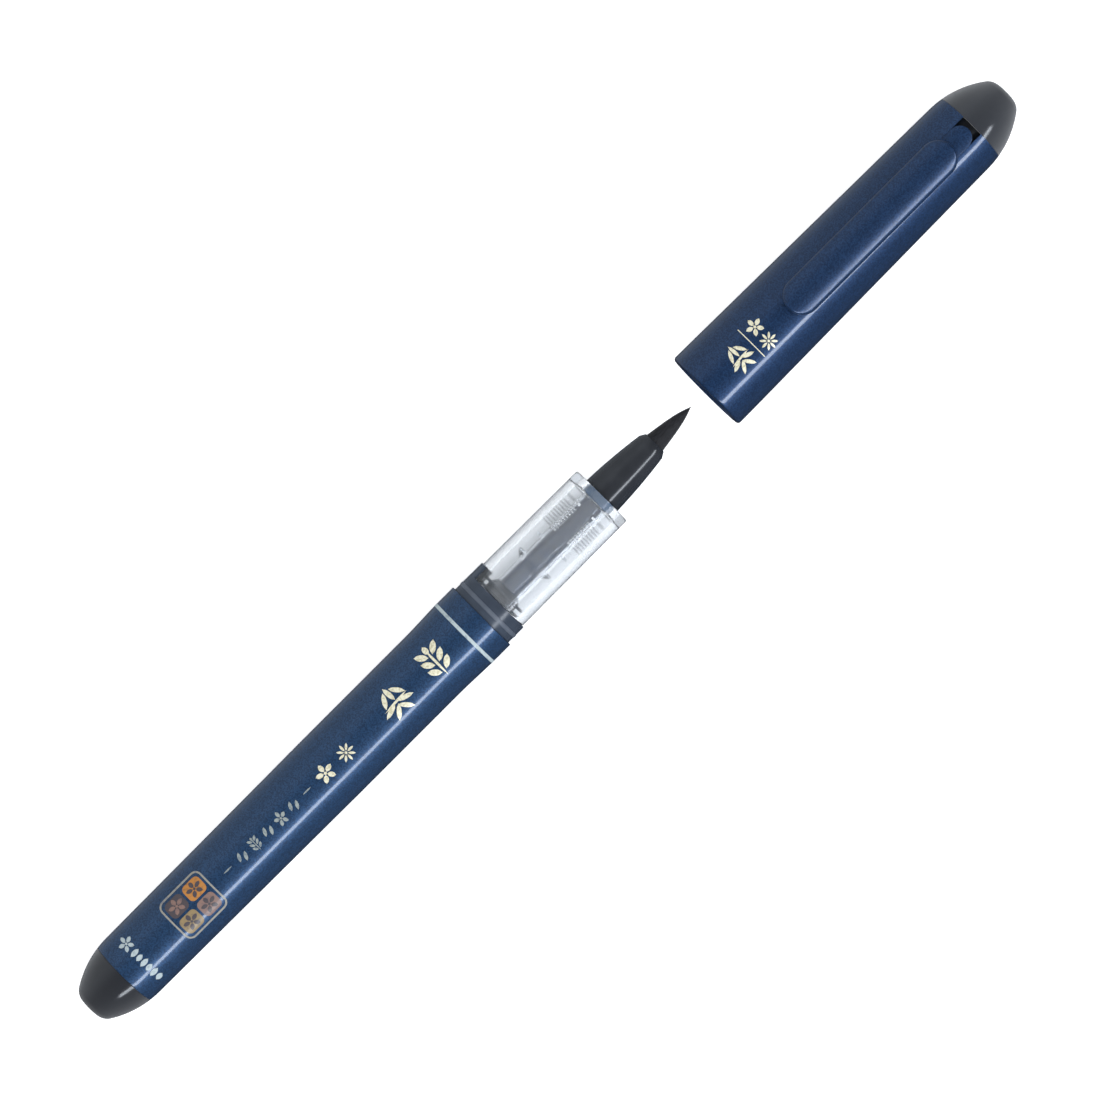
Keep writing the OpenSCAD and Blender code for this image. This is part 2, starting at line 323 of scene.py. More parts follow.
@dataclass(frozen=True)
class DomeShape:
    """Outline of a blunt dome: a side that sweeps in and a corner arc round a small flat end.

    Attributes:
        start: Station where the dome's own piece begins.
        end: Station of its end.
        full: Station where the side starts to sweep in.
        full_r: Radius there.
        sweep: Radius of the side's sweep.
        corner: Radius of the corner arc.
    """

    start: float
    end: float
    full: float
    full_r: float
    sweep: float = 14.5
    corner: float = 2.2

    def points(self, steps: int = 20) -> Outline:
        """The outline from the start to the axis at the end.

        Args:
            steps: Points along the side, and as many round the corner.

        Returns:
            The outline's points.
        """
        way = math.copysign(1, self.end - self.start)
        corner_x = self.end - way * self.corner
        run = abs(corner_x - self.full)
        rise = math.sqrt((self.sweep - self.corner) ** 2 - run * run)
        corner_y = self.full_r - self.sweep + rise
        meet = math.atan2(rise, run)
        meet_x = self.full + way * self.sweep * math.cos(meet)
        side = [
            (x, ogive(x, self.full, self.full_r, self.sweep))
            for x in (self.start + (meet_x - self.start) * i / steps for i in range(steps + 1))
        ]
        angles = (meet * (1 - i / steps) for i in range(1, steps + 1))
        turned = [
            (corner_x + way * self.corner * math.cos(a), corner_y + self.corner * math.sin(a))
            for a in angles
        ]
        return side + turned + [(self.end, corner_y / 2), (self.end, 0.0)]

    def inside(self, wall: float, start: float) -> "DomeShape":
        """The parallel dome one wall further in, begun at another station."""
        way = math.copysign(1, self.end - self.start)
        return DomeShape(
            start, self.end - way * wall, self.full, self.full_r - wall,
            self.sweep - wall, self.corner - wall,
        )


# --- finishes --------------------------------------------------------------------------------


def srgb(code: str) -> tuple[float, float, float, float]:
    """Linear colour of an sRGB hex code.

    Args:
        code: Such as "#1f3b66".

    Returns:
        Linear red, green, blue and an alpha of 1.
    """
    parts = [int(code[i : i + 2], 16) / 255 for i in (1, 3, 5)]
    linear = [c / 12.92 if c <= 0.04045 else ((c + 0.055) / 1.055) ** 2.4 for c in parts]
    return (*linear, 1.0)


def add_node(
    tree: bpy.types.NodeTree,
    kind: str,
    values: dict[str | int, object] | None = None,
    links: dict[str | int, tuple[bpy.types.Node, str]] | None = None,
    **settings: object,
) -> bpy.types.Node:
    """Adds one node with its settings, socket values and links.

    Args:
        tree: The node tree.
        kind: The node's type.
        values: Input socket to value.
        links: Input socket to (node, output socket).
        **settings: The node's own properties.

    Returns:
        The node.
    """
    node = tree.nodes.new(kind)
    for key, value in settings.items():
        setattr(node, key, value)
    for socket, value in (values or {}).items():
        node.inputs[socket].default_value = value
    for socket, (source, output) in (links or {}).items():
        tree.links.new(source.outputs[output], node.inputs[socket])
    return node


def ramp_between(node: bpy.types.Node, stops: list[tuple[float, str]]) -> bpy.types.Node:
    """Sets a colour ramp's stops from (position, hex colour) pairs."""
    elements = node.color_ramp.elements
    while len(elements) < len(stops):
        elements.new(0.5)
    for element, (position, code) in zip(elements, stops):
        element.position = position
        element.color = srgb(code)
    return node


@dataclass(frozen=True)
class Finish:
    """A surface finish: the material's name and how it is made."""

    name: str

    def build(self, tree: bpy.types.NodeTree, shader: bpy.types.Node, place: bpy.types.Node) -> None:
        """Sets the shader and adds the nodes that feed it.

        Args:
            tree: The material's nodes.
            shader: Its Principled shader.
            place: Its Texture Coordinate node.
        """
        raise NotImplementedError

    def material(self) -> bpy.types.Material:
        """The finish as a material, made once."""
        known = bpy.data.materials.get(self.name)
        if known:
            return known
        material = bpy.data.materials.new(self.name)
        material.use_nodes = True
        tree = material.node_tree
        tree.nodes.clear()
        shader = add_node(tree, "ShaderNodeBsdfPrincipled")
        add_node(tree, "ShaderNodeOutputMaterial", links={"Surface": (shader, "BSDF")})
        place = add_node(tree, "ShaderNodeTexCoord")
        self.build(tree, shader, place)
        return material

    def dress(self, obj: bpy.types.Object) -> bpy.types.Object:
        """Gives obj this finish and no other."""
        obj.data.materials.clear()
        obj.data.materials.append(self.material())
        return obj


def set_shader(shader: bpy.types.Node, **values: object) -> None:
    """Sets a Principled shader's sockets; base_color=... sets "Base Color"."""
    names = {s.name.lower().replace(" ", "_"): s.name for s in shader.inputs}
    for key, value in values.items():
        shader.inputs[names[key]].default_value = value


@dataclass(frozen=True)
class PearlLacquer(Finish):
    """Dark blue pearl lacquer, sprayed on moulded plastic and clear-coated.

    Fine flakes under the clear coat give a soft blue glow round each sharp highlight, and the
    coat has a faint orange peel.
    """

    deep: str = "#1b3252"
    light: str = "#25426a"
    coat_roughness: float = 0.1
    flake_mm: float = 0.16
    peel_mm: float = 1.4
    cloud_mm: float = 14.0

    def build(self, tree: bpy.types.NodeTree, shader: bpy.types.Node, place: bpy.types.Node) -> None:
        """Flakes vary the colour, clouds the roughness, and a fine swell the surface."""
        at = (place, "Object")
        # real flakes are about 0.03 mm; they are drawn coarser so that they show at all
        flakes = add_node(
            tree, "ShaderNodeTexVoronoi", {"Scale": 1 / (self.flake_mm * MM)}, {"Vector": at}
        )
        tint = ramp_between(
            add_node(tree, "ShaderNodeValToRGB", links={"Fac": (flakes, "Color")}),
            [(0.25, self.deep), (0.75, self.light)],
        )
        clouds = add_node(
            tree, "ShaderNodeTexNoise", {"Scale": 1 / (self.cloud_mm * MM), "Detail": 2.0},
            {"Vector": at},
        )
        rough = add_node(
            tree, "ShaderNodeMapRange", {"To Min": 0.34, "To Max": 0.44}, {"Value": (clouds, "Fac")}
        )
        peel = add_node(
            tree, "ShaderNodeTexNoise", {"Scale": 1 / (self.peel_mm * MM), "Detail": 1.0},
            {"Vector": at},
        )
        bump = add_node(
            tree, "ShaderNodeBump", {"Strength": 0.25, "Distance": 0.004 * MM},
            {"Height": (peel, "Fac")},
        )
        set_shader(
            shader, metallic=0.55, ior=1.5, coat_weight=1.0, coat_roughness=self.coat_roughness,
            coat_ior=1.5,
        )
        tree.links.new(tint.outputs["Color"], shader.inputs["Base Color"])
        tree.links.new(rough.outputs["Result"], shader.inputs["Roughness"])
        tree.links.new(bump.outputs["Normal"], shader.inputs["Coat Normal"])


@dataclass(frozen=True)
class MouldedPlastic(Finish):
    """Solid-coloured injection-moulded plastic.

    A faint mottle of the pigment and a fine sparked texture from the mould keep it from looking
    like paint.
    """

    colour: str = "#1b1c1f"
    shade: str = "#222327"
    roughness: float = 0.25
    ior: float = 1.49
    subsurface: float = 0.0
    grain_mm: float = 0.25
    grain_depth_mm: float = 0.002

    def build(self, tree: bpy.types.NodeTree, shader: bpy.types.Node, place: bpy.types.Node) -> None:
        """Mottle drives the colour and roughness, the mould's grain the surface."""
        at = (place, "Object")
        mottle = add_node(
            tree, "ShaderNodeTexNoise", {"Scale": 1 / (3.0 * MM), "Detail": 3.0}, {"Vector": at}
        )
        tint = ramp_between(
            add_node(tree, "ShaderNodeValToRGB", links={"Fac": (mottle, "Fac")}),
            [(0.3, self.colour), (0.7, self.shade)],
        )
        rough = add_node(
            tree, "ShaderNodeMapRange",
            {"To Min": self.roughness * 0.85, "To Max": self.roughness * 1.2},
            {"Value": (mottle, "Fac")},
        )
        grain = add_node(
            tree, "ShaderNodeTexNoise", {"Scale": 1 / (self.grain_mm * MM), "Detail": 2.0},
            {"Vector": at},
        )
        bump = add_node(
            tree, "ShaderNodeBump", {"Strength": 0.4, "Distance": self.grain_depth_mm * MM},
            {"Height": (grain, "Fac")},
        )
        set_shader(shader, ior=self.ior, subsurface_weight=self.subsurface, subsurface_scale=1.0 * MM)
        tree.links.new(tint.outputs["Color"], shader.inputs["Base Color"])
        tree.links.new(rough.outputs["Result"], shader.inputs["Roughness"])
        tree.links.new(bump.outputs["Normal"], shader.inputs["Normal"])


@dataclass(frozen=True)
class ClearPlastic(Finish):
    """See-through moulded plastic, polished or slightly milky.

    It bends what lies behind it, tints it a little, and scatters a little where it is milky.
    """

    tint: str = "#d8dce0"
    roughness: float = 0.12
    transmission: float = 0.95
    ior: float = 1.49
    sheen: float = 0.0
    flow_mm: float = 2.5

    def build(self, tree: bpy.types.NodeTree, shader: bpy.types.Node, place: bpy.types.Node) -> None:
        """Flow lines of the moulding ripple the surface very slightly."""
        flow = add_node(
            tree, "ShaderNodeTexNoise", {"Scale": 1 / (self.flow_mm * MM), "Detail": 2.0},
            {"Vector": (place, "Object")},
        )
        bump = add_node(
            tree, "ShaderNodeBump", {"Strength": 0.2, "Distance": 0.004 * MM},
            {"Height": (flow, "Fac")},
        )
        set_shader(
            shader, base_color=srgb(self.tint), roughness=self.roughness, ior=self.ior,
            transmission_weight=self.transmission, sheen_weight=self.sheen, sheen_roughness=0.6,
        )
        tree.links.new(bump.outputs["Normal"], shader.inputs["Normal"])


@dataclass(frozen=True)
class InkedFibre(Finish):
    """Bonded fibre soaked with ink: matt, with fine fibres that run along the pen."""

    colour: str = "#131315"
    fibre: str = "#242529"
    fibre_mm: float = 0.12
    roughness: float = 0.8
    sheen: float = 0.15

    def build(self, tree: bpy.types.NodeTree, shader: bpy.types.Node, place: bpy.types.Node) -> None:
        """A noise drawn out along X stands for the fibres, in colour and in relief."""
        drawn = add_node(
            tree, "ShaderNodeMapping", {"Scale": (0.06, 1.0, 1.0)}, {"Vector": (place, "Object")}
        )
        # real fibres are about 0.02 mm; they are drawn coarser so that they show
        fibres = add_node(
            tree, "ShaderNodeTexNoise", {"Scale": 1 / (self.fibre_mm * MM), "Detail": 4.0},
            {"Vector": (drawn, "Vector")},
        )
        tint = ramp_between(
            add_node(tree, "ShaderNodeValToRGB", links={"Fac": (fibres, "Fac")}),
            [(0.35, self.colour), (0.7, self.fibre)],
        )
        bump = add_node(
            tree, "ShaderNodeBump", {"Strength": 0.6, "Distance": 0.03 * MM},
            {"Height": (fibres, "Fac")},
        )
        set_shader(shader, roughness=self.roughness, sheen_weight=self.sheen, sheen_roughness=0.4)
        tree.links.new(tint.outputs["Color"], shader.inputs["Base Color"])
        tree.links.new(bump.outputs["Normal"], shader.inputs["Normal"])


@dataclass(frozen=True)
class HotFoil(Finish):
    """Pale gold foil, hot-stamped: a thin bright metal with a slightly broken surface."""

    colour: str = "#f6f1d6"
    worn: str = "#d3ccab"
    metallic: float = 0.45
    roughness: float = 0.38

    def build(self, tree: bpy.types.NodeTree, shader: bpy.types.Node, place: bpy.types.Node) -> None:
        """Small patches where the foil took less well are duller."""
        patches = add_node(
            tree, "ShaderNodeTexNoise", {"Scale": 1 / (0.35 * MM), "Detail": 3.0},
            {"Vector": (place, "Object")},
        )
        tint = ramp_between(
            add_node(tree, "ShaderNodeValToRGB", links={"Fac": (patches, "Fac")}),
            [(0.35, self.worn), (0.55, self.colour)],
        )
        rough = add_node(
            tree, "ShaderNodeMapRange",
            {"To Min": self.roughness + 0.2, "To Max": self.roughness - 0.1},
            {"Value": (patches, "Fac")},
        )
        set_shader(shader, metallic=self.metallic)
        tree.links.new(tint.outputs["Color"], shader.inputs["Base Color"])
        tree.links.new(rough.outputs["Result"], shader.inputs["Roughness"])


@dataclass(frozen=True)
class PadInk(Finish):
    """Pad-printed ink: a thin even film with a faint mottle, half matt."""

    colour: str = "#a5b2b5"
    thin: str = "#85939a"
    roughness: float = 0.45

    def build(self, tree: bpy.types.NodeTree, shader: bpy.types.Node, place: bpy.types.Node) -> None:
        """The film's uneven thickness shows as a faint mottle."""
        film = add_node(
            tree, "ShaderNodeTexNoise", {"Scale": 1 / (0.5 * MM), "Detail": 3.0},
            {"Vector": (place, "Object")},
        )
        tint = ramp_between(
            add_node(tree, "ShaderNodeValToRGB", links={"Fac": (film, "Fac")}),
            [(0.3, self.thin), (0.5, self.colour)],
        )
        set_shader(shader, roughness=self.roughness, coat_weight=0.3, coat_roughness=0.15)
        tree.links.new(tint.outputs["Color"], shader.inputs["Base Color"])


# Deep blue with a fine sparkle and a sharp highlight. The barrel has the cap's lacquer painted a
# little lighter, as painted light for its brighter lighting, with a softer coat; the clip's coat is
# softer again.
CAP_LACQUER = PearlLacquer("blue_pearl_lacquer_sprayed_on_cap")
LIT_BARREL_LACQUER = PearlLacquer(
    "blue_pearl_lacquer_sprayed_on_barrel", deep="#243c5a", light="#2e4e74", coat_roughness=0.12
)
CLIP_LACQUER = PearlLacquer("blue_pearl_lacquer_sprayed_on_clip", coat_roughness=0.24)

# Smoke-grey and glassy, with a soft veil; the spigot under it is dull and painted nearly black as
# painted shade, where it shows in the slot beside the clip's tongue.
SMOKE_STYRENE = ClearPlastic(
    "smoke_styrene_polished", tint="#282b31", roughness=0.14, transmission=0.15, ior=1.55, sheen=0.28
)
TAIL_STYRENE = ClearPlastic(
    "smoke_styrene_tail_polished", tint="#1f2126", roughness=0.14, transmission=0.15, ior=1.55, sheen=0.2
)
SHADED_SPIGOT_STYRENE = MouldedPlastic(
    "dark_styrene_spigot_unpolished", colour="#07080b", shade="#0c0d10", roughness=0.5
)

# Near-black and glossy on the ferrule; bluer and duller on the collar, whose bead is painted paler
# as a painted highlight where its round sides catch the light.
BLACK_ABS = MouldedPlastic(
    "black_abs_moulded", colour="#27292d", shade="#2e3034", roughness=0.18, ior=1.58
)
SLATE_ABS = MouldedPlastic(
    "slate_abs_spigot_moulded", colour="#3d6184", shade="#466a8c", roughness=0.4
)
NAVY_ABS = MouldedPlastic("navy_abs_bore_moulded", colour="#1a2c47", shade="#21344f", roughness=0.4)
COLLAR_ABS = MouldedPlastic(
    "blue_black_abs_moulded", colour="#333a45", shade="#3b434f", roughness=0.22
)
BEAD_HIGHLIGHT_ABS = MouldedPlastic("rubbed_abs_bead", colour="#4c535e", shade="#585f6a", roughness=0.3)

# Clear with a grey cast outside and none in the bore; the collector is faintly milky. Its IOR is
# set well below the 1.54 of real ABS, which lets its fins look as pale as they should.
CLEAR_STYRENE = ClearPlastic("clear_styrene_polished")
BORE_STYRENE = ClearPlastic("clear_styrene_bore_moulded", tint="#fcfdfe")
PIPE_STYRENE = ClearPlastic("clear_styrene_pipe_moulded", tint="#f4f6f9")
COLLECTOR_ABS = ClearPlastic(
    "milky_abs_collector_moulded", tint="#ffffff", roughness=0.15, transmission=0.92, ior=1.28
)

# Wet fibre: slate blue where the ink is seen through clear plastic, matt black at the tip.
WICK_FIBRE = InkedFibre("polyester_wick_inked", colour="#123c6b", fibre="#1e4875", sheen=0.0)
TIP_FIBRE = InkedFibre("nylon_tip_inked")

# Pale gold foil, and thinner foil that lets the blue through; flat half-matt inks.
GOLD_FOIL = HotFoil("pale_gold_foil_stamped")
FAINT_FOIL = HotFoil("thin_pale_foil_stamped", colour="#a7b0ad", worn="#7f8a90")
WHITE_INK = PadInk("white_ink_pad_printed")
GREY_INK = PadInk("grey_ink_pad_printed", colour="#8d8a80", thin="#75757a")
UMBER_INK = PadInk("umber_ink_pad_printed", colour="#473f42", thin="#3d3c46")
ORANGE_INK = PadInk("orange_ink_pad_printed", colour="#ac7232", thin="#8a6138")
OCHRE_INK = PadInk("ochre_ink_pad_printed", colour="#86724f", thin="#6e614e")
ROSE_INK = PadInk("rose_brown_ink_pad_printed", colour="#7c6259", thin="#655354")

# Inside pieces: a waxy white liner, a cloudy holder, a dull black ring, a black mirror of ink.
LINER_PE = MouldedPlastic(
    "white_polyethylene_liner_moulded", colour="#cfd2d4", shade="#dadcde", roughness=0.45,
    subsurface=0.3,
)
HOLDER_PP = MouldedPlastic(
    "natural_polypropylene_holder_moulded", colour="#b9bcbf", shade="#c6c9cb", roughness=0.4
)
SEAL_RUBBER = MouldedPlastic(
    "black_nitrile_ring_moulded", colour="#141414", shade="#1b1b1b", roughness=0.6
)
LIQUID_INK = MouldedPlastic(
    "black_ink_liquid", colour="#08080b", shade="#0b0b10", roughness=0.05, ior=1.34,
    grain_depth_mm=0.0001,
)


# --- decoration ------------------------------------------------------------------------------


@dataclass(frozen=True)
class Petal:
    """One leaf-shaped dab of a mark.

    Attributes:
        x: Place along the mark, as a share of its length, from -0.5 to 0.5.
        y: Place across it, as a share of its width.
        angle: The dab's direction, in degrees.
        length: As a share of the mark's length.
        width: As a share of the mark's length.
    """

    x: float
    y: float
    angle: float
    length: float
    width: float


def blossom(count: int, length: float = 0.42, width: float = 0.24, turn: float = 0.0) -> list[Petal]:
    """A ring of petals round a middle dab."""
    reach = 0.5 - length / 2
    ring = [
        Petal(
            reach * math.cos(math.radians(turn + 360 * i / count)),
            reach * math.sin(math.radians(turn + 360 * i / count)),
            turn + 360 * i / count, length, width,
        )
        for i in range(count)
    ]
    return ring + [Petal(0, 0, 0, 0.16, 0.16)]


def leafy(pairs: int, lean: float = 48.0) -> list[Petal]:
    """A sprig: a thin stem across the mark with leaves in pairs and one at its end."""
    leaves = [Petal(0, -0.04, 90, 0.92, 0.07)]
    for i in range(pairs):
        y = -0.3 + 0.52 * i / max(pairs - 1, 1)
        leaves += [Petal(side * 0.22, y + 0.08, 90 - side * lean, 0.4, 0.17) for side in (-1, 1)]
    return leaves + [Petal(0, 0.36, 90, 0.26, 0.16)]


class Pattern(Enum):
    """The abstract patterns that the marks are made of."""

    BLOSSOM = "blossom"
    STAR = "star"
    SPRIG = "sprig"
    BAMBOO = "bamboo"
    DASH = "dash"
    DOT = "dot"
    PAIR = "pair"

    def petals(self) -> list[Petal]:
        """The pattern's petals."""
        match self:
            case Pattern.BLOSSOM:
                return blossom(5, turn=18)
            case Pattern.STAR:
                return blossom(8, length=0.4, width=0.13)
            case Pattern.SPRIG:
                return leafy(3)
            case Pattern.BAMBOO:
                fan = [(-0.2, 0.2, 62), (0.0, 0.26, 96), (0.22, 0.2, 128)]
                sides = [(-0.26, -0.12, 20), (0.26, -0.1, 162)]
                low = [(-0.12, -0.28, 52), (0.14, -0.28, 130)]
                leaves = [Petal(x, y, angle, 0.46, 0.13) for x, y, angle in fan + sides + low]
                return leaves + [Petal(0, -0.02, 4, 0.8, 0.07)]
            case Pattern.DASH:
                return [Petal(0, 0, 0, 1.0, 0.22)]
            case Pattern.DOT:
                return [Petal(0, 0, 0, 0.8, 0.7)]
            case Pattern.PAIR:
                return [Petal(-0.2, 0.1, 60, 0.62, 0.24), Petal(0.2, -0.1, 60, 0.62, 0.24)]


@dataclass(frozen=True)
class Mark:
    """One printed mark: its pattern, middle and size, in millimetres."""

    pattern: Pattern
    station: float
    y: float
    length: float
    width: float


@dataclass
class FoilStamp:
    """Stamps marks flat and lays them over the pen's round side.

    Attributes:
        line: The station scale that the marks go by.
        radius_at: The surface's radius at a station.
        lift: Height of the foil's underside over the surface.
        film: The foil's thickness.
        strip: Width of the strips that follow the curve.
    """

    line: PenLine
    radius_at: RadiusAt
    lift: float = 0.012
    film: float = 0.02
    strip: float = 0.22

    def petal(self) -> bpy.types.Object:
        """Models one petal, 1 mm long and wide: a disc whose two ends are drawn out to points."""
        clear_selection()
        bpy.ops.mesh.primitive_circle_add(vertices=20, radius=0.42 * MM, fill_type="NGON")
        disc = bpy.context.object
        bpy.ops.object.mode_set(mode="EDIT")
        for side in (-1, 1):
            select_by_place(disc, lambda co: co.x * side > 0.41 * MM)
            bpy.ops.transform.translate(value=(side * 0.08 * MM, 0, 0))
        bpy.ops.mesh.select_all(action="SELECT")
        bpy.ops.transform.resize(value=(1, 1 / 0.84, 1))
        return settle("petal")

    def stamp(self, marks: list[Mark], name: str, finish: Finish) -> bpy.types.Object:
        """Makes one piece of all the marks in one ink.

        Args:
            marks: The marks.
            name: The piece's name.
            finish: Its foil or ink.

        Returns:
            The piece, lying on the pen.
        """
        master = self.petal()
        dabs = []
        for mark in marks:
            for petal in mark.pattern.petals():
                dab = master.copy()
                dab.data = master.data.copy()
                bpy.context.scene.collection.objects.link(dab)
                layer = 0.002 * (len(dabs) % 9)
                shape = Matrix.Diagonal((petal.length * mark.length, petal.width * mark.length, 1, 1))
                turn = Matrix.Rotation(math.radians(petal.angle), 4, "Z")
                squeeze = Matrix.Diagonal((1, mark.width / mark.length, 1, 1))
                middle = Matrix.Translation((petal.x * mark.length * MM, petal.y * mark.length * MM, 0))
                place = Matrix.Translation(
                    (self.line.x(mark.station), mark.y * MM, (self.lift + layer) * MM)
                )
                dab.data.transform(place @ squeeze @ middle @ turn @ shape)
                dabs.append(dab)
        bpy.data.objects.remove(master)
        return self.lay(join(dabs, name), finish)

    def lay(self, flat: bpy.types.Object, finish: Finish) -> bpy.types.Object:
        """Cuts a flat piece into strips, lays it over the pen and gives it its thickness."""
        low = min(v.co.y for v in flat.data.vertices)
        high = max(v.co.y for v in flat.data.vertices)
        slice_across(flat, low, high, self.strip * MM, "Y")
        self.line.drape(flat, self.radius_at)
        modify(flat, "SOLIDIFY", thickness=self.film * MM, offset=1.0)
        pick(flat)
        bpy.ops.object.mode_set(mode="EDIT")
        bpy.ops.mesh.select_all(action="SELECT")
        bpy.ops.mesh.normals_make_consistent(inside=False)
        bpy.ops.object.mode_set(mode="OBJECT")
        return finish.dress(smooth(flat, angle=60))

    def tile(
        self, station: float, y: float, size: tuple[float, float], corner: float
    ) -> bpy.types.Object:
        """Models a flat tile with rounded corners.

        Args:
            station: Its middle along the pen.
            y: Its middle across.
            size: Length and width, in millimetres.
            corner: Radius of its corners.

        Returns:
            The tile in edit mode, with its face selected.
        """
        clear_selection()
        bpy.ops.mesh.primitive_plane_add(
            size=MM, location=(self.line.x(station), y * MM, self.lift * MM)
        )
        bpy.ops.object.mode_set(mode="EDIT")
        bpy.ops.mesh.select_all(action="SELECT")
        bpy.ops.transform.resize(value=(size[0], size[1], 1))
        bpy.ops.mesh.select_mode(type="VERT")
        bpy.ops.mesh.bevel(offset=corner * MM, segments=6, affect="VERTICES")
        bpy.ops.mesh.select_mode(type="FACE")
        bpy.ops.mesh.select_all(action="SELECT")
        return bpy.context.object


# --- sub-assemblies --------------------------------------------------------------------------


def second_finish(
    obj: bpy.types.Object, finish: Finish, wanted: Callable[[Vector, Vector], bool]
) -> bpy.types.Object:
    """Gives the faces of obj that pass a test a second finish.

    Args:
        obj: The piece, which has its first finish.
        finish: The second one.
        wanted: Takes a face's centre and normal and says whether it gets it.

    Returns:
        The same object.
    """
    obj.data.materials.append(finish.material())
    pick(obj)
    bpy.ops.object.mode_set(mode="EDIT")
    select_faces(obj, wanted)
    obj.active_material_index = len(obj.data.materials) - 1
    bpy.ops.object.material_slot_assign()
    bpy.ops.object.mode_set(mode="OBJECT")
    return obj


def own(obj: bpy.types.Object, body: str, slot: str, *nodes: str) -> bpy.types.Object:
    """Rides a piece on its body and hides the CAD nodes that it stands for."""
    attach(obj, body)
    if nodes:
        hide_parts(*nodes)
    return obj


@dataclass
class Barrel:
    """Lacquered barrel with its printed line, tail plug and decoration."""

    line: PenLine
    tail_joint: float = -71.8
    tail_end: float = -78.7
    tail_full: float = -70.0
    tail_r: float = 5.385
    grip_start: float = -30.0
    grip_end: float = -10.0
    grip_r: float = 5.575
    lip_start: float = -2.7
    lip_r: float = 5.76
    lip_round: float = 0.25
    tank_r: float = 4.55
    socket_r: float = 4.9
    socket_l: float = 9.0
    plug_seat: float = -66.0
    plug_r: float = 4.75
    wall: float = 1.1
    ring_middle: float = -3.45
    ring_w: float = 0.5

    def radius_at(self, station: float) -> float:
        """The outside's radius at a station."""
        if station < self.tail_full:
            return ogive(station, self.tail_full, self.tail_r, DomeShape.sweep)
        if station < self.grip_start:
            share = (station - self.tail_full) / (self.grip_start - self.tail_full)
            return self.tail_r + (self.grip_r - self.tail_r) * share
        if station < self.grip_end:
            return self.grip_r
        share = (station - self.grip_end) / (self.lip_start - self.grip_end)
        return self.grip_r + (self.lip_r - self.grip_r) * ease(share)

    def tube(self) -> bpy.types.Object:
        """Turns the barrel: its tapered outside, the lip, and the tank and sockets inside."""
        sides = [self.tail_joint, -71.2, -70.6, self.tail_full, -60, -50, -40, self.grip_start, -20]
        flare = [self.grip_end + (self.lip_start - self.grip_end) * i / 8 for i in range(9)]
        outline = [(x, self.radius_at(x)) for x in sides + flare]
        outline += [(-0.6, self.lip_r), (0.0, self.lip_r)]
        outline += [
            (0.0, self.socket_r), (-self.socket_l, self.socket_r), (-self.socket_l, self.tank_r),
            (self.plug_seat, self.tank_r), (self.plug_seat, self.plug_r),
            (self.tail_joint, self.plug_r), outline[0],
        ]
        tube = smooth(self.line.turn("barrel_tube", outline, steps=192), edge_mm=self.lip_round * 0.6)
        # the barrel's lacquer is the cap's, painted lighter: painted light
        return own(LIT_BARREL_LACQUER.dress(tube), "pen", "blue_lacquer", "barrel")

    def tail(self) -> bpy.types.Object:
        """Turns the tail plug: a hollow smoke dome on its spigot."""
        dome = DomeShape(self.tail_joint - 0.01, self.tail_end, self.tail_full, self.tail_r)
        inner = dome.inside(self.wall, self.tail_joint - 0.6)
        bore = self.plug_r - 0.9
        outline = dome.points()[::-1] + [(self.tail_joint - 0.01, self.plug_r - 0.01)]
        outline += [(self.plug_seat, self.plug_r - 0.01), (self.plug_seat, bore)]
        outline += [(self.tail_joint - 0.6, bore)]
        outline += inner.points()
        tail = smooth(self.line.turn("tail_dome", outline, steps=160), edge_mm=0.06)
        return own(TAIL_STYRENE.dress(tail), "pen", "smoke_plastic", "tail_plug")

    def ring(self) -> bpy.types.Object:
        """Turns the printed white line near the lip, a film on the lacquer."""
        low, high = self.ring_middle - self.ring_w / 2, self.ring_middle + self.ring_w / 2
        skin, film = 0.003, 0.018
        corners = [(low, skin), (low, film), (high, film), (high, skin), (low, skin)]
        outline = [(x, self.radius_at(x) + height) for x, height in corners]
        ring = smooth(self.line.turn("front_line", outline, steps=192))
        return own(WHITE_INK.dress(ring), "pen", "printed_ink")

    def marks(self) -> list[bpy.types.Object]:
        """Stamps the decoration: sprigs, blossoms, a row of small dabs and a framed panel."""
        stamp = FoilStamp(self.line, self.radius_at)
        marks = [
            Mark(Pattern.BAMBOO, -17.05, 0.1, 5.7, 5.2),
            Mark(Pattern.SPRIG, -9.05, 0.2, 5.3, 5.4),
            Mark(Pattern.BLOSSOM, -31.2, -0.1, 3.1, 3.0),
            Mark(Pattern.STAR, -27.1, -0.1, 2.8, 2.8),
        ]
        gold = stamp.stamp(marks, "barrel_foil_marks", GOLD_FOIL)
        row = [Pattern.PAIR, Pattern.BLOSSOM, Pattern.PAIR, Pattern.SPRIG, Pattern.PAIR]
        small = [Mark(p, -37.6 - 2.55 * i, -0.15, 2.1, 2.4) for i, p in enumerate(row)]
        small += [Mark(Pattern.DASH, x, 0.0, 1.6, 1.0) for x in (-34.8, -50.6)]
        faint = stamp.stamp(small, "barrel_faint_marks", FAINT_FOIL)
        column = [Mark(Pattern.BLOSSOM, -68.2, 2.75, 2.4, 2.4)]
        column += [Mark(Pattern.DOT, -68.2, 1.0 - 0.95 * i, 2.0 - 0.4 * (i % 2), 1.05) for i in range(6)]
        tail = stamp.stamp(column, "tail_white_marks", WHITE_INK)
        foils = [own(piece, "pen", "gold_foil") for piece in (gold, faint)]
        return foils + [own(piece, "pen", "printed_ink") for piece in (tail, *self.panel(stamp))]

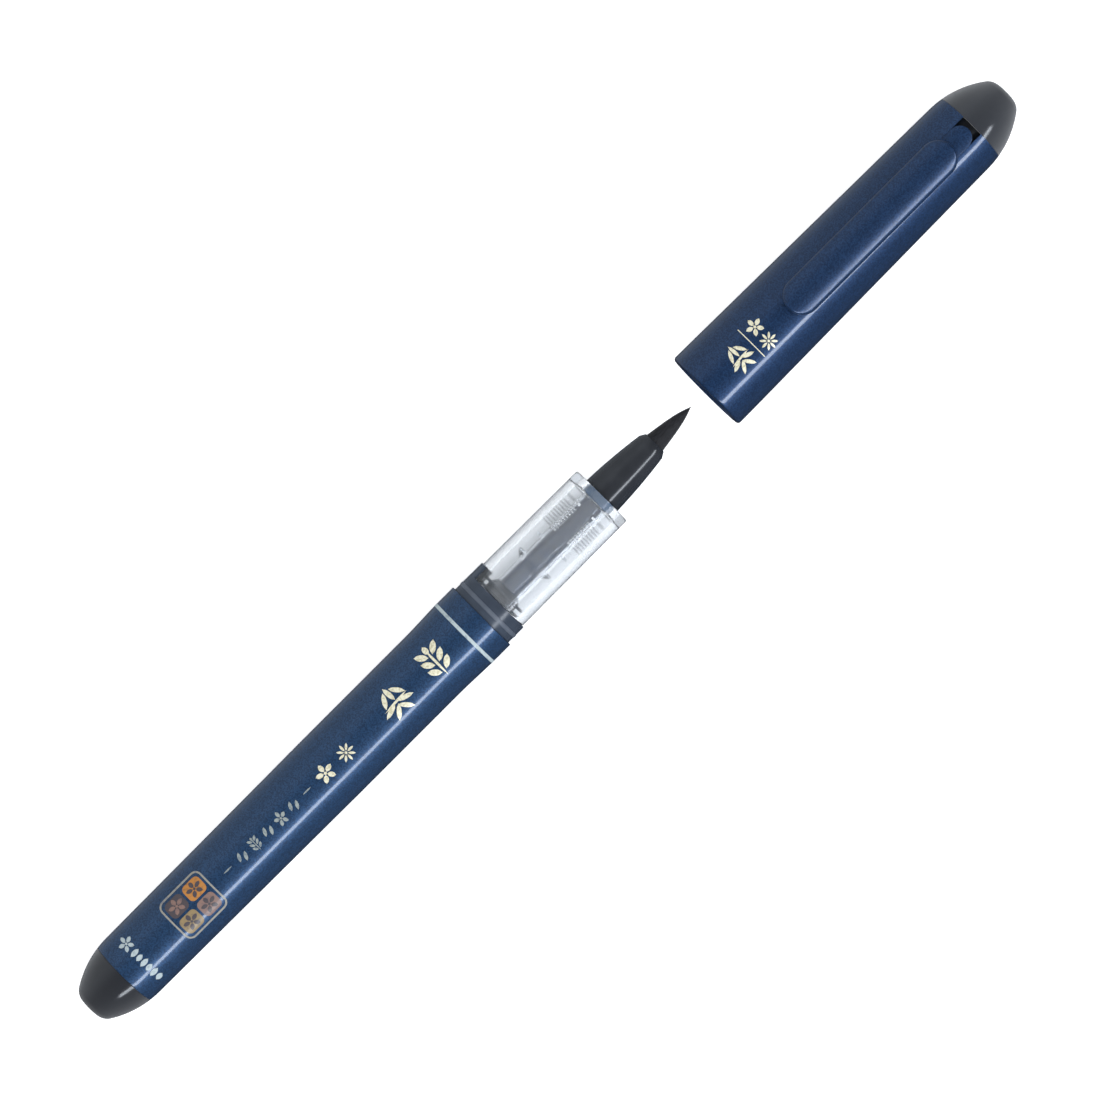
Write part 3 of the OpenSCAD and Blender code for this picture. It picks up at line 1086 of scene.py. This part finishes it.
    def panel(self, stamp: FoilStamp) -> list[bpy.types.Object]:
        """Stamps the panel near the tail: a thin frame round four tiles with blossoms."""
        middle, across = -57.6, -0.05
        stamp.tile(middle, across, (7.9, 6.9), 1.1)
        bpy.ops.mesh.inset(thickness=0.26 * MM)
        bpy.ops.mesh.delete(type="FACE")
        pieces = [stamp.lay(settle("panel_frame"), GREY_INK)]
        tiles = {(-1, 1): UMBER_INK, (1, 1): ORANGE_INK, (-1, -1): OCHRE_INK, (1, -1): ROSE_INK}
        over = FoilStamp(self.line, self.radius_at, lift=0.036)
        dark, pale = [], []
        for (along, up), ink in tiles.items():
            spot = (middle + along * 1.75, across + up * 1.5)
            stamp.tile(*spot, (3.1, 2.6), 0.7)
            pieces.append(stamp.lay(settle(f"panel_tile_{len(pieces)}"), ink))
            (pale if ink == UMBER_INK else dark).append(Mark(Pattern.BLOSSOM, *spot, 2.7, 2.4))
        pieces.append(over.stamp(dark, "panel_dark_blossoms", UMBER_INK))
        return pieces + [over.stamp(pale, "panel_pale_blossom", ROSE_INK)]

    def build(self) -> list[bpy.types.Object]:
        """Builds the barrel's pieces."""
        return [self.tube(), self.tail(), self.ring(), *self.marks()]


@dataclass
class Section:
    """Black collar and clear section, with the bung, pipe, collector and wick inside them."""

    line: PenLine
    collar_l: float = 3.1
    collar_r: float = 5.35
    collar_inner: float = 4.89
    bead_half: float = 0.3
    bead_r: float = 5.43
    bead_x: float = 1.3
    tab_end: float = 5.4
    tab_w: float = 5.4
    spigot_l: float = 7.0
    spigot_r: float = 4.3
    end: float = 24.15
    rear_r: float = 5.1
    front_r: float = 5.0
    chamber_r: float = 3.75
    chamber_end: float = 22.7
    bung_front: float = 3.6
    bung_disc: float = 4.2
    pipe_start: float = 5.4
    pipe_r: float = 2.05
    pipe_bore: float = 1.7
    flange_x: float = 10.5
    flange_r: float = 3.1
    hub_start: float = 13.8
    fin_start: float = 15.9
    fin_pitch: float = 0.5
    fin_t: float = 0.22
    fins: int = 9
    groove_w: float = 3.3
    wick_r: float = 1.65

    def collar(self) -> bpy.types.Object:
        """Turns the collar: a band with a rounded snap bead, on its pressed spigot."""
        rise = self.bead_r - self.collar_r
        bead = [
            (self.bead_x + self.bead_half * math.cos(a), self.collar_r + rise * math.sin(a))
            for a in (math.pi * (1 - i / 8) for i in range(9))
        ]
        outline = [(-self.spigot_l, self.spigot_r), (-self.spigot_l, self.collar_inner)]
        outline += [(0.01, self.collar_inner), (0.01, self.collar_r)]
        outline += bead + [(self.collar_l, self.collar_r), (self.collar_l, self.spigot_r)]
        outline += [outline[0]]
        band = self.line.turn("band", outline, steps=160)
        collar = smooth(join([band, self.tab()], "section_band"), edge_mm=0.08, angle=40)
        COLLAR_ABS.dress(collar)
        # the bead's faces get a paler finish: a painted highlight
        low, high = self.line.x(self.bead_x - 0.33), self.line.x(self.bead_x + 0.33)
        second_finish(collar, BEAD_HIGHLIGHT_ABS, lambda at, n: low < at.x < high)
        return own(collar, "pen", "black_plastic", "section_collar")

    def tab(self) -> bpy.types.Object:
        """Models the key tab: a stretch of a thin ring that reaches over the clear section."""
        start, inner = self.collar_l - 0.2, self.rear_r + 0.02
        outline = [
            (start, inner), (start, self.collar_r - 0.01), (self.tab_end, self.collar_r - 0.01),
            (self.tab_end, inner), (start, inner),
        ]
        tab = self.line.turn("tab", outline, steps=160)
        clear_selection()
        bpy.ops.mesh.primitive_cube_add(
            size=MM, location=(self.line.x(4), 5 * MM, self.line.axis_z), scale=(6, 4, self.tab_w)
        )
        block = settle("tab_block")
        modify(tab, "BOOLEAN", operation="INTERSECT", object=block, solver="EXACT")
        bpy.data.objects.remove(block)
        return tab

    def clear_tube(self) -> bpy.types.Object:
        """Turns the thick clear section, with its nose wall and the ferrule's hole."""
        gap, hole = 0.012, 2.61
        outline = [
            (-self.spigot_l, self.chamber_r), (-self.spigot_l, self.spigot_r - gap),
            (self.collar_l + gap, self.spigot_r - gap), (self.collar_l + gap, self.rear_r),
            (self.end, self.front_r), (self.end, hole), (self.chamber_end, hole),
            (self.chamber_end, self.chamber_r), (-self.spigot_l, self.chamber_r),
        ]
        tube = smooth(self.line.turn("clear_tube", outline, steps=192), edge_mm=0.3, angle=40)
        CLEAR_STYRENE.dress(tube)
        bore = self.chamber_r + 0.05
        second_finish(tube, BORE_STYRENE, lambda at, n: self.line.radius(at) < bore and abs(n.x) < 0.5)
        return own(tube, "pen", "clear_plastic", "clear_section")

    def bung(self) -> bpy.types.Object:
        """Turns the bung: its flange with the seal's groove, neck, disc and conical nose."""
        flange, groove, r, neck = self.collar_inner, 4.4, self.chamber_r - 0.05, 2.7
        rear, groove_rear, groove_front = -9.0, -8.5, -7.5
        outline = [(rear, self.pipe_bore), (rear, flange), (groove_rear, flange)]
        outline += [(groove_rear, groove), (groove_front, groove), (groove_front, flange)]
        outline += [(-self.spigot_l, flange), (-self.spigot_l, r), (self.bung_front, r)]
        outline += [
            (self.bung_front, neck), (self.bung_disc, neck), (self.bung_disc, r),
            (self.bung_disc + 0.4, r), (self.bung_disc + 0.4, neck),
            (self.pipe_start, self.pipe_r), (self.pipe_start, self.pipe_bore),
        ]
        bung = smooth(self.line.turn("bung_nose", outline + [outline[0]], steps=96), edge_mm=0.05)
        return own(COLLAR_ABS.dress(bung), "pen", "black_plastic", "tank_bung")

    def pipe(self) -> bpy.types.Object:
        """Turns the feed pipe with its coned flange."""
        top = self.flange_x + 0.35
        outline = [
            (self.pipe_start, self.pipe_bore), (self.pipe_start, self.pipe_r),
            (self.flange_x - 1.0, self.pipe_r), (self.flange_x, self.flange_r), (top, self.flange_r),
            (top, self.pipe_r), (self.hub_start, self.pipe_r), (self.hub_start, self.pipe_bore),
        ]
        pipe = smooth(self.line.turn("feed_tube", outline + [outline[0]], steps=96), edge_mm=0.04)
        return own(PIPE_STYRENE.dress(pipe), "pen", "clear_plastic", "feed_pipe")

    def comb(self) -> bpy.types.Object:
        """Turns the collector: a hub with a step, fine fins and two discs."""
        hub, r = self.pipe_r + 0.1, self.chamber_r - 0.1
        step_r, step_l, middle_disc = 2.9, 0.4, (20.75, 0.4)
        outline = [(self.hub_start, self.pipe_bore), (self.hub_start, step_r)]
        outline += [(self.hub_start + step_l, step_r)]
        rings = [(self.fin_start + i * self.fin_pitch, self.fin_t) for i in range(self.fins)]
        for start, thick in rings + [middle_disc]:
            outline += [(start, hub), (start, r), (start + thick, r), (start + thick, hub)]
        outline.insert(3, (self.hub_start + step_l, hub))
        disc, end = 22.35, self.chamber_end - 0.02
        outline += [(disc, hub), (disc, r), (end, r), (end, self.pipe_bore)]
        comb = self.line.turn("collector_comb", outline + [outline[0]], steps=96)
        for side in (-1, 1):
            clear_selection()
            bpy.ops.mesh.primitive_cube_add(
                size=MM, scale=(6.5, self.groove_w, 4),
                location=(self.line.x(18.6), 0, self.line.axis_z + side * (hub + 2) * MM),
            )
            groove = settle("groove")
            modify(comb, "BOOLEAN", operation="DIFFERENCE", object=groove, solver="EXACT")
            bpy.data.objects.remove(groove)
        COLLECTOR_ABS.dress(smooth(comb, edge_mm=0.03))
        step_end, half = self.line.x(self.hub_start + 0.5), self.groove_w / 2 * MM
        second_finish(
            comb, PIPE_STYRENE,
            lambda at, n: self.line.radius(at) < hub + 0.06 or at.x < step_end or abs(at.y) < half,
        )
        return own(comb, "pen", "collector_plastic", "collector")

    def wick(self) -> bpy.types.Object:
        """Turns the wick, with its thin end that runs into the ferrule."""
        start, step, end, thin = -9.0, 23.0, 32.9, 1.24
        outline = [(start, 0.0), (start, self.wick_r), (step, self.wick_r)]
        outline += [(step, thin), (end, thin), (end, 0.0)]
        wick = smooth(self.line.turn("wick_rod", outline, steps=64), edge_mm=0.04)
        return own(WICK_FIBRE.dress(wick), "pen", "wick_fibre", "ink_wick")

    def build(self) -> list[bpy.types.Object]:
        """Builds the section's pieces."""
        return [self.collar(), self.clear_tube(), self.bung(), self.pipe(), self.comb(), self.wick()]


@dataclass
class WritingTip:
    """Black ferrule and the soft tip at its mouth."""

    line: PenLine
    rear: float = 24.15
    rear_r: float = 3.1
    end: float = 34.8
    chamfer: float = 0.85
    mouth_r: float = 1.66
    holder_r: float = 2.01
    holder_end: float = 33.1
    tip_r: float = 1.62
    tip_l: float = 7.2

    def side(self, station: float) -> float:
        """The ferrule's radius at a station, slightly barrelled."""
        s = station - self.rear
        return self.rear_r - 0.0285 * s - 0.00563 * s * s

    def ferrule(self) -> bpy.types.Object:
        """Turns the ferrule: spigot, barrelled nose, chamfered mouth and bore."""
        front = self.end - self.chamfer
        nose = [(x, self.side(x)) for x in (self.rear + (front - self.rear) * i / 16 for i in range(17))]
        outline = [(22.7, self.holder_r), (22.7, 2.6), (self.rear, 2.6), (self.rear, self.rear_r - 0.04)]
        outline += [(self.rear + 0.08, self.rear_r)] + nose[1:]
        outline += [
            (self.end, 1.77), (self.end, self.mouth_r), (self.holder_end, self.mouth_r),
            (self.holder_end, self.holder_r), (22.7, self.holder_r),
        ]
        ferrule = smooth(self.line.turn("ferrule_nose", outline, steps=128), edge_mm=0.06)
        BLACK_ABS.dress(ferrule)
        second_finish(ferrule, SLATE_ABS, lambda at, n: at.x < self.line.x(self.rear))
        return own(ferrule, "pen", "black_plastic", "ferrule")

    def tip(self) -> bpy.types.Object:
        """Turns the tip: a ball-shaped root and a convex point."""
        root = [
            (self.end - self.tip_r * math.cos(a), self.tip_r * math.sin(a))
            for a in (math.pi / 2 * i / 10 for i in range(11))
        ]
        shares = [i / 28 for i in range(1, 28)]
        point = [(self.end + self.tip_l * t, self.tip_r * (1 - 0.66 * t - 0.34 * t**4)) for t in shares]
        outline = root + point + [(self.end + self.tip_l - 0.01, 0.05), (self.end + self.tip_l, 0.0)]
        tip = smooth(self.line.turn("soft_tip", outline, steps=64), angle=50)
        TIP_FIBRE.dress(tip)
        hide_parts("brush_tip")
        start = (self.line.x(self.end - 0.4), 0, self.line.axis_z)
        end = (self.line.x(self.end + 4.5), 0, self.line.axis_z)
        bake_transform(tip)
        return tip

    def build(self) -> list[bpy.types.Object]:
        """Builds the ferrule and the tip."""
        return [self.ferrule(), self.tip()]


@dataclass
class Cap:
    """Lacquered cap tube, smoke crown, liner and the foil on its side."""

    line: PenLine
    length: float = 60.2
    joint: float = 53.0
    full: float = 50.7
    mouth_r: float = 6.53
    rear_r: float = 5.93
    mouth_round: float = 0.5
    bore_r: float = 5.5
    liner_start: float = 24.25
    liner_end: float = 46.2
    liner_r: float = 5.0
    liner_wall: float = 0.8
    wall: float = 1.1
    slot_start: float = 43.94
    slot_w: float = 3.5

    def radius_at(self, station: float) -> float:
        """The outside's radius at a station."""
        if station > self.full:
            return ogive(station, self.full, self.rear_r, DomeShape.sweep)
        share = max(station - 1, 0) / (self.full - 1)
        return self.mouth_r + (self.rear_r - self.mouth_r) * share

    def tube(self) -> bpy.types.Object:
        """Turns the cap tube and cuts the slot for the clip's tongue."""
        mouth_in = self.bore_r + 0.25
        lip = [
            (self.mouth_round * (1 - math.sin(a)), self.mouth_r - self.mouth_round * (1 - math.cos(a)))
            for a in (math.pi / 2 * (1 - i / 8) for i in range(9))
        ]
        stations = [1, 10, 20, 30, 40, 48, self.full, 51.3, 51.9, 52.5, self.joint]
        outline = [(0.25, self.bore_r), (0.0, mouth_in)] + lip
        outline += [(x, self.radius_at(x)) for x in stations]
        outline += [
            (self.joint, self.liner_r), (self.liner_start, self.liner_r),
            (self.liner_start, self.bore_r), (0.25, self.bore_r),
        ]
        tube = self.line.turn("cap_shell", outline, steps=256)
        clear_selection()
        length = self.joint + 0.5 - self.slot_start
        bpy.ops.mesh.primitive_cube_add(
            size=MM,
            location=(self.line.x(self.slot_start + length / 2), 0, self.line.axis_z + 7 * MM),
            scale=(length, self.slot_w, 8),
        )
        cutter = settle("slot_cutter")
        modify(tube, "BOOLEAN", operation="DIFFERENCE", object=cutter, solver="EXACT")
        bpy.data.objects.remove(cutter)
        CAP_LACQUER.dress(smooth(tube))
        inner = self.bore_r + 0.05
        second_finish(tube, NAVY_ABS, lambda at, n: self.line.radius(at) < inner and n.x > -0.5)
        return own(tube, "cap", "blue_lacquer", "cap_tube")

    def crown(self) -> bpy.types.Object:
        """Turns the crown: a hollow smoke dome on its spigot."""
        dome = DomeShape(self.joint + 0.01, self.length, self.full, self.rear_r)
        inner = dome.inside(self.wall, self.joint + 0.6)
        spigot, bore = self.liner_r - 0.01, self.liner_r - 0.9
        outline = dome.points()[::-1] + [(self.joint + 0.01, spigot), (self.joint - 3, spigot)]
        outline += [(self.joint - 3, bore), (self.joint + 0.6, bore)] + inner.points()
        crown = smooth(self.line.turn("crown_dome", outline, steps=160), edge_mm=0.06)
        SMOKE_STYRENE.dress(crown)
        # the spigot, which shows in the clip's slot, is painted nearly black: painted shade
        second_finish(crown, SHADED_SPIGOT_STYRENE, lambda at, n: at.x < self.line.x(self.joint))
        return own(crown, "cap", "smoke_plastic", "cap_crown")

    def liner(self) -> bpy.types.Object:
        """Turns the liner: a cup with a rounded lip, seen down the cap's mouth."""
        r, bore, floor = self.liner_r - 0.01, self.liner_r - self.liner_wall, self.liner_end - 1
        outline = [
            (floor, 0.0), (floor, bore), (self.liner_start, bore), (self.liner_start, r),
            (self.liner_end, r), (self.liner_end, 0.0),
        ]
        liner = smooth(self.line.turn("liner_cup", outline, steps=128), edge_mm=0.18)
        return own(LINER_PE.dress(liner), "cap", "liner_plastic", "inner_cap")

    def marks(self) -> bpy.types.Object:
        """Stamps the cap's decoration: one large mark, a thin line across and two small marks."""
        stamp = FoilStamp(self.line, self.radius_at)
        marks = [
            Mark(Pattern.BAMBOO, 6.6, 0.0, 4.2, 4.7),
            Mark(Pattern.BLOSSOM, 11.15, 1.6, 2.7, 2.7),
            Mark(Pattern.STAR, 11.15, -1.2, 2.7, 2.7),
        ]
        foil = stamp.stamp(marks, "cap_foil_marks", GOLD_FOIL)
        stamp.tile(9.2, 0.3, (0.14, 5.4), 0.05)
        rule = stamp.lay(settle("cap_foil_rule"), GOLD_FOIL)
        return own(join([foil, rule], "cap_foil_marks"), "cap", "gold_foil")

    def build(self) -> list[bpy.types.Object]:
        """Builds the cap's pieces."""
        return [self.tube(), self.crown(), self.liner(), self.marks()]


@dataclass
class Clip:
    """Pocket clip: a raised blade with round ends, a riser, a pad and a tongue in the cap."""

    cap: Cap
    start: float = 16.2
    root: float = 48.8
    width: float = 5.5
    thick: float = 1.1
    gap: float = 0.8
    riser: float = 44.0
    tongue_end: float = 52.25
    tongue_w: float = 3.46
    crown_r: float = 5.3
    pad: float = 18.8
    pivot: float = 52.0

    def slab(
        self, name: str, ends: tuple[float, float], width: float, heights: tuple[float, float],
        edge: float,
    ) -> bpy.types.Object:
        """Models a flat bar with round ends: a disc drawn out, raised, and rounded on top.

        Args:
            name: The bar's name.
            ends: Its first and last station.
            width: Its width.
            heights: Its underside's and top's height over the cap.
            edge: Radius of its top edge.

        Returns:
            The bar, flat, with its heights as Z.
        """
        line, radius = self.cap.line, width / 2
        clear_selection()
        bpy.ops.mesh.primitive_circle_add(
            vertices=56, radius=radius * MM, fill_type="NGON", rotation=(0, 0, math.pi / 56),
            location=(line.x(ends[0] + radius), 0, heights[0] * MM),
        )
        obj = bpy.context.object
        bpy.ops.object.mode_set(mode="EDIT")
        select_by_place(obj, lambda co: co.x > line.x(ends[0] + radius))
        bpy.ops.transform.translate(value=((ends[1] - ends[0] - width) * MM, 0, 0))
        bpy.ops.mesh.select_all(action="SELECT")
        bpy.ops.mesh.extrude_region_move(
            TRANSFORM_OT_translate={"value": (0, 0, (heights[1] - heights[0]) * MM)}
        )
        bpy.ops.mesh.select_all(action="SELECT")
        bpy.ops.mesh.normals_make_consistent(inside=False)
        select_by_place(obj, lambda co: co.z > (heights[1] - 0.01) * MM)
        bpy.ops.mesh.bevel(offset=edge * MM, segments=5, affect="EDGES")
        return settle(name)

    def blade(self) -> bpy.types.Object:
        """Models the blade with its riser, an extrusion of the underside near the root."""
        line = self.cap.line
        heights = (self.gap, self.gap + self.thick)
        blade = self.slab("blade", (self.start, self.root), self.width, heights, 0.42)
        slice_across(blade, line.x(self.riser), line.x(self.riser), 1, "X")
        pick(blade)
        bpy.ops.object.mode_set(mode="EDIT")
        select_faces(blade, lambda at, n: n.z < -0.9 and at.x > line.x(self.riser))
        down = (0, 0, -(self.gap + 0.05) * MM)
        bpy.ops.mesh.extrude_region_move(TRANSFORM_OT_translate={"value": down})
        bpy.ops.mesh.select_all(action="SELECT")
        bpy.ops.mesh.normals_make_consistent(inside=False)
        bpy.ops.object.mode_set(mode="OBJECT")
        half = self.width / 2 * MM
        slice_across(blade, -half, half, 0.3 * MM, "Y")
        return self.crown(blade)

    def crown(self, blade: bpy.types.Object) -> bpy.types.Object:
        """Lowers the flat blade's top towards its sides, so that it ends up crowned."""
        round_r = self.cap.mouth_r + self.gap + self.thick
        for vertex in blade.data.vertices:
            y = vertex.co.y / MM
            drop = math.sqrt(round_r**2 - y * y) - round_r
            drop += self.crown_r - math.sqrt(self.crown_r**2 - y * y)
            share = max(vertex.co.z / MM - self.gap, 0) / self.thick
            vertex.co.z -= share * drop * MM
        return blade

    def foot(self) -> bpy.types.Object:
        """Models the pad under the free end: a ball, flattened where it nears the cap."""
        line = self.cap.line
        clear_selection()
        bpy.ops.mesh.primitive_uv_sphere_add(
            segments=32, ring_count=16, radius=MM,
            location=(line.x(self.pad), 0, (self.gap + 0.25) * MM),
        )
        bpy.ops.object.mode_set(mode="EDIT")
        for height, side in ((0.06, "inner"), (self.gap + 0.4, "outer")):
            bpy.ops.mesh.select_all(action="SELECT")
            bpy.ops.mesh.bisect(
                plane_co=(0, 0, height * MM), plane_no=(0, 0, 1), use_fill=True,
                clear_inner=side == "inner", clear_outer=side == "outer",
            )
        return settle("foot")

    def build(self) -> list[bpy.types.Object]:
        """Builds the clip and lays it over the cap."""
        line = self.cap.line
        tongue = self.slab(
            "tongue", (self.riser, self.tongue_end), self.tongue_w, (-0.75, 0.0), 0.06
        )
        clip = join([self.blade(), tongue, self.foot()], "clip_blade")
        slice_across(clip, -1.5 * MM, 1.5 * MM, 0.3 * MM, "Y")
        slice_across(clip, line.x(self.start), line.x(self.tongue_end), 1.5 * MM, "X")
        line.drape(clip, self.cap.radius_at)
        smooth(clip, angle=38)
        CLIP_LACQUER.dress(clip)
        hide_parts("cap_clip")
        start = (line.x(self.pivot), 0, line.axis_z)
        end = (line.x(self.riser), 0, line.axis_z)
        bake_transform(clip)
        return [clip]


# --- studio ----------------------------------------------------------------------------------


@dataclass
class Studio:
    """Pale table, soft light and the camera straight above the pen.

    Attributes:
        middle: What the camera looks at, in metres.
        view_w: Width of the view at the pen's axis, in metres.
        roll: Turn of the camera about its line of sight, in degrees.
        lens: The camera's focal length, in millimetres.
        sensor: Width of its sensor, in millimetres.
        surround: Colours of the dim surround from the -Y side over the top to the +Y side.
    """

    middle: Vector
    view_w: float = 0.15625
    roll: float = -45.0
    lens: float = 200.0
    sensor: float = 36.0
    surround: list[tuple[float, str]] = field(
        default_factory=lambda: [
            (0.0, "#4d586a"), (0.25, "#323a46"), (0.5, "#26292e"), (0.62, "#3c4148"), (0.85, "#99a0a8"),
            (1.0, "#949ba1"),
        ]
    )

    def floor(self) -> bpy.types.Object:
        """Lays the table top, a wide pale sheet."""
        clear_selection()
        bpy.ops.mesh.primitive_plane_add(size=20, location=(0, 0, 0))
        floor = settle("table_top")
        paper = bpy.data.materials.new("table_matt_white_laminate")
        paper.use_nodes = True
        shader = paper.node_tree.nodes["Principled BSDF"]
        set_shader(
            shader, base_color=srgb("#f7f7f7"), roughness=0.9, specular_ior_level=0.1,
            emission_color=srgb("#ffffff"), emission_strength=0.45,
        )
        floor.data.materials.append(paper)
        floor.visible_glossy = False
        return floor

    def camera(self) -> bpy.types.Object:
        """Hangs the camera above the pen."""
        distance = self.view_w * self.lens / self.sensor
        data = bpy.data.cameras.new("top_camera")
        data.lens = self.lens
        data.sensor_width = self.sensor
        data.clip_start = 0.01
        camera = bpy.data.objects.new("top_camera", data)
        camera.location = self.middle + Vector((0, 0, distance))
        camera.rotation_euler = (0, 0, math.radians(self.roll))
        bpy.context.scene.collection.objects.link(camera)
        bpy.context.scene.camera = camera
        return camera

    def area(
        self, name: str, tilt: float, distance: float, size: tuple[float, float], radiance: float,
        colour: str = "#ffffff",
    ) -> bpy.types.Object:
        """Hangs an area light that faces the pen.

        Args:
            name: The light's name.
            tilt: Its direction from straight up, in degrees towards +Y.
            distance: How far it hangs from the pen, in metres.
            size: Its length along the pen and its width, in metres.
            radiance: Its brightness.
            colour: Its colour.

        Returns:
            The light.
        """
        data = bpy.data.lights.new(name, "AREA")
        data.shape = "RECTANGLE"
        data.size, data.size_y = size
        data.energy = radiance * math.pi * size[0] * size[1]
        data.color = srgb(colour)[:3]
        light = bpy.data.objects.new(name, data)
        angle = math.radians(tilt)
        light.location = self.middle + Vector((0, math.sin(angle), math.cos(angle))) * distance
        light.rotation_euler = (-angle, 0, 0)
        bpy.context.scene.collection.objects.link(light)
        return light

    def lights(self) -> None:
        """Sets a narrow strip for the highlight, a soft sky light for the table and a dim surround."""
        self.area("strip_light", -50, 0.5, (0.9, 0.08), 9.7, "#eff6ff")
        sun = bpy.data.lights.new("soft_sky", "SUN")
        sun.energy = 3.0
        sun.angle = math.radians(100)
        sky = bpy.data.objects.new("soft_sky", sun)
        sky.visible_glossy = False
        bpy.context.scene.collection.objects.link(sky)
        world = bpy.data.worlds.new("studio")
        world.use_nodes = True
        tree = world.node_tree
        place = add_node(tree, "ShaderNodeTexCoord")
        split = add_node(tree, "ShaderNodeSeparateXYZ", links={"Vector": (place, "Generated")})
        across = add_node(
            tree, "ShaderNodeMapRange", {"From Min": -1.0, "From Max": 1.0}, {"Value": (split, "Y")}
        )
        side = add_node(tree, "ShaderNodeValToRGB", links={"Fac": (across, "Result")})
        ramp_between(side, self.surround)
        background = tree.nodes["Background"]
        tree.links.new(side.outputs["Color"], background.inputs["Color"])
        bpy.context.scene.world = world
        bpy.context.scene.view_settings.view_transform = "Standard"

    def build(self) -> None:
        """Builds the table, the lights and the camera."""
        self.floor()
        self.lights()
        self.camera()


# --- assembly --------------------------------------------------------------------------------

HIDDEN_FINISHES: dict[str, Finish] = {
    "ink_charge": LIQUID_INK,
    "bung_seal": SEAL_RUBBER,
    "tip_holder": HOLDER_PP,
}


def corners(box: tuple[Vector, Vector]) -> list[list[float]]:
    """A box as plain lists of numbers."""
    return [list(map(float, corner)) for corner in box]


def main() -> None:
    """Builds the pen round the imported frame."""
    logging.basicConfig(level=logging.INFO, format="%(name)s: %(message)s")
    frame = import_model()
    barrel_low, barrel_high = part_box("barrel")
    axis_z = (barrel_low.z + barrel_high.z) / 2
    pen_line = PenLine(barrel_high.x, axis_z)
    cap_line = PenLine(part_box("cap_tube")[0].x, axis_z)
    for node, finish in HIDDEN_FINISHES.items():
        finish.dress(frame["nodes"][node])
        log.info("%s keeps its solid, finished as %s", node, finish.name)
    cap = Cap(cap_line)
    for assembly in (Barrel(pen_line), Section(pen_line), WritingTip(pen_line), cap, Clip(cap)):
        for piece in assembly.build():
            log.info("%s: %s, %d faces", type(assembly).__name__, piece.name, len(piece.data.polygons))
    Studio(Vector((0.00024, -0.00023, axis_z))).build()


if __name__ == "__main__":
    main()
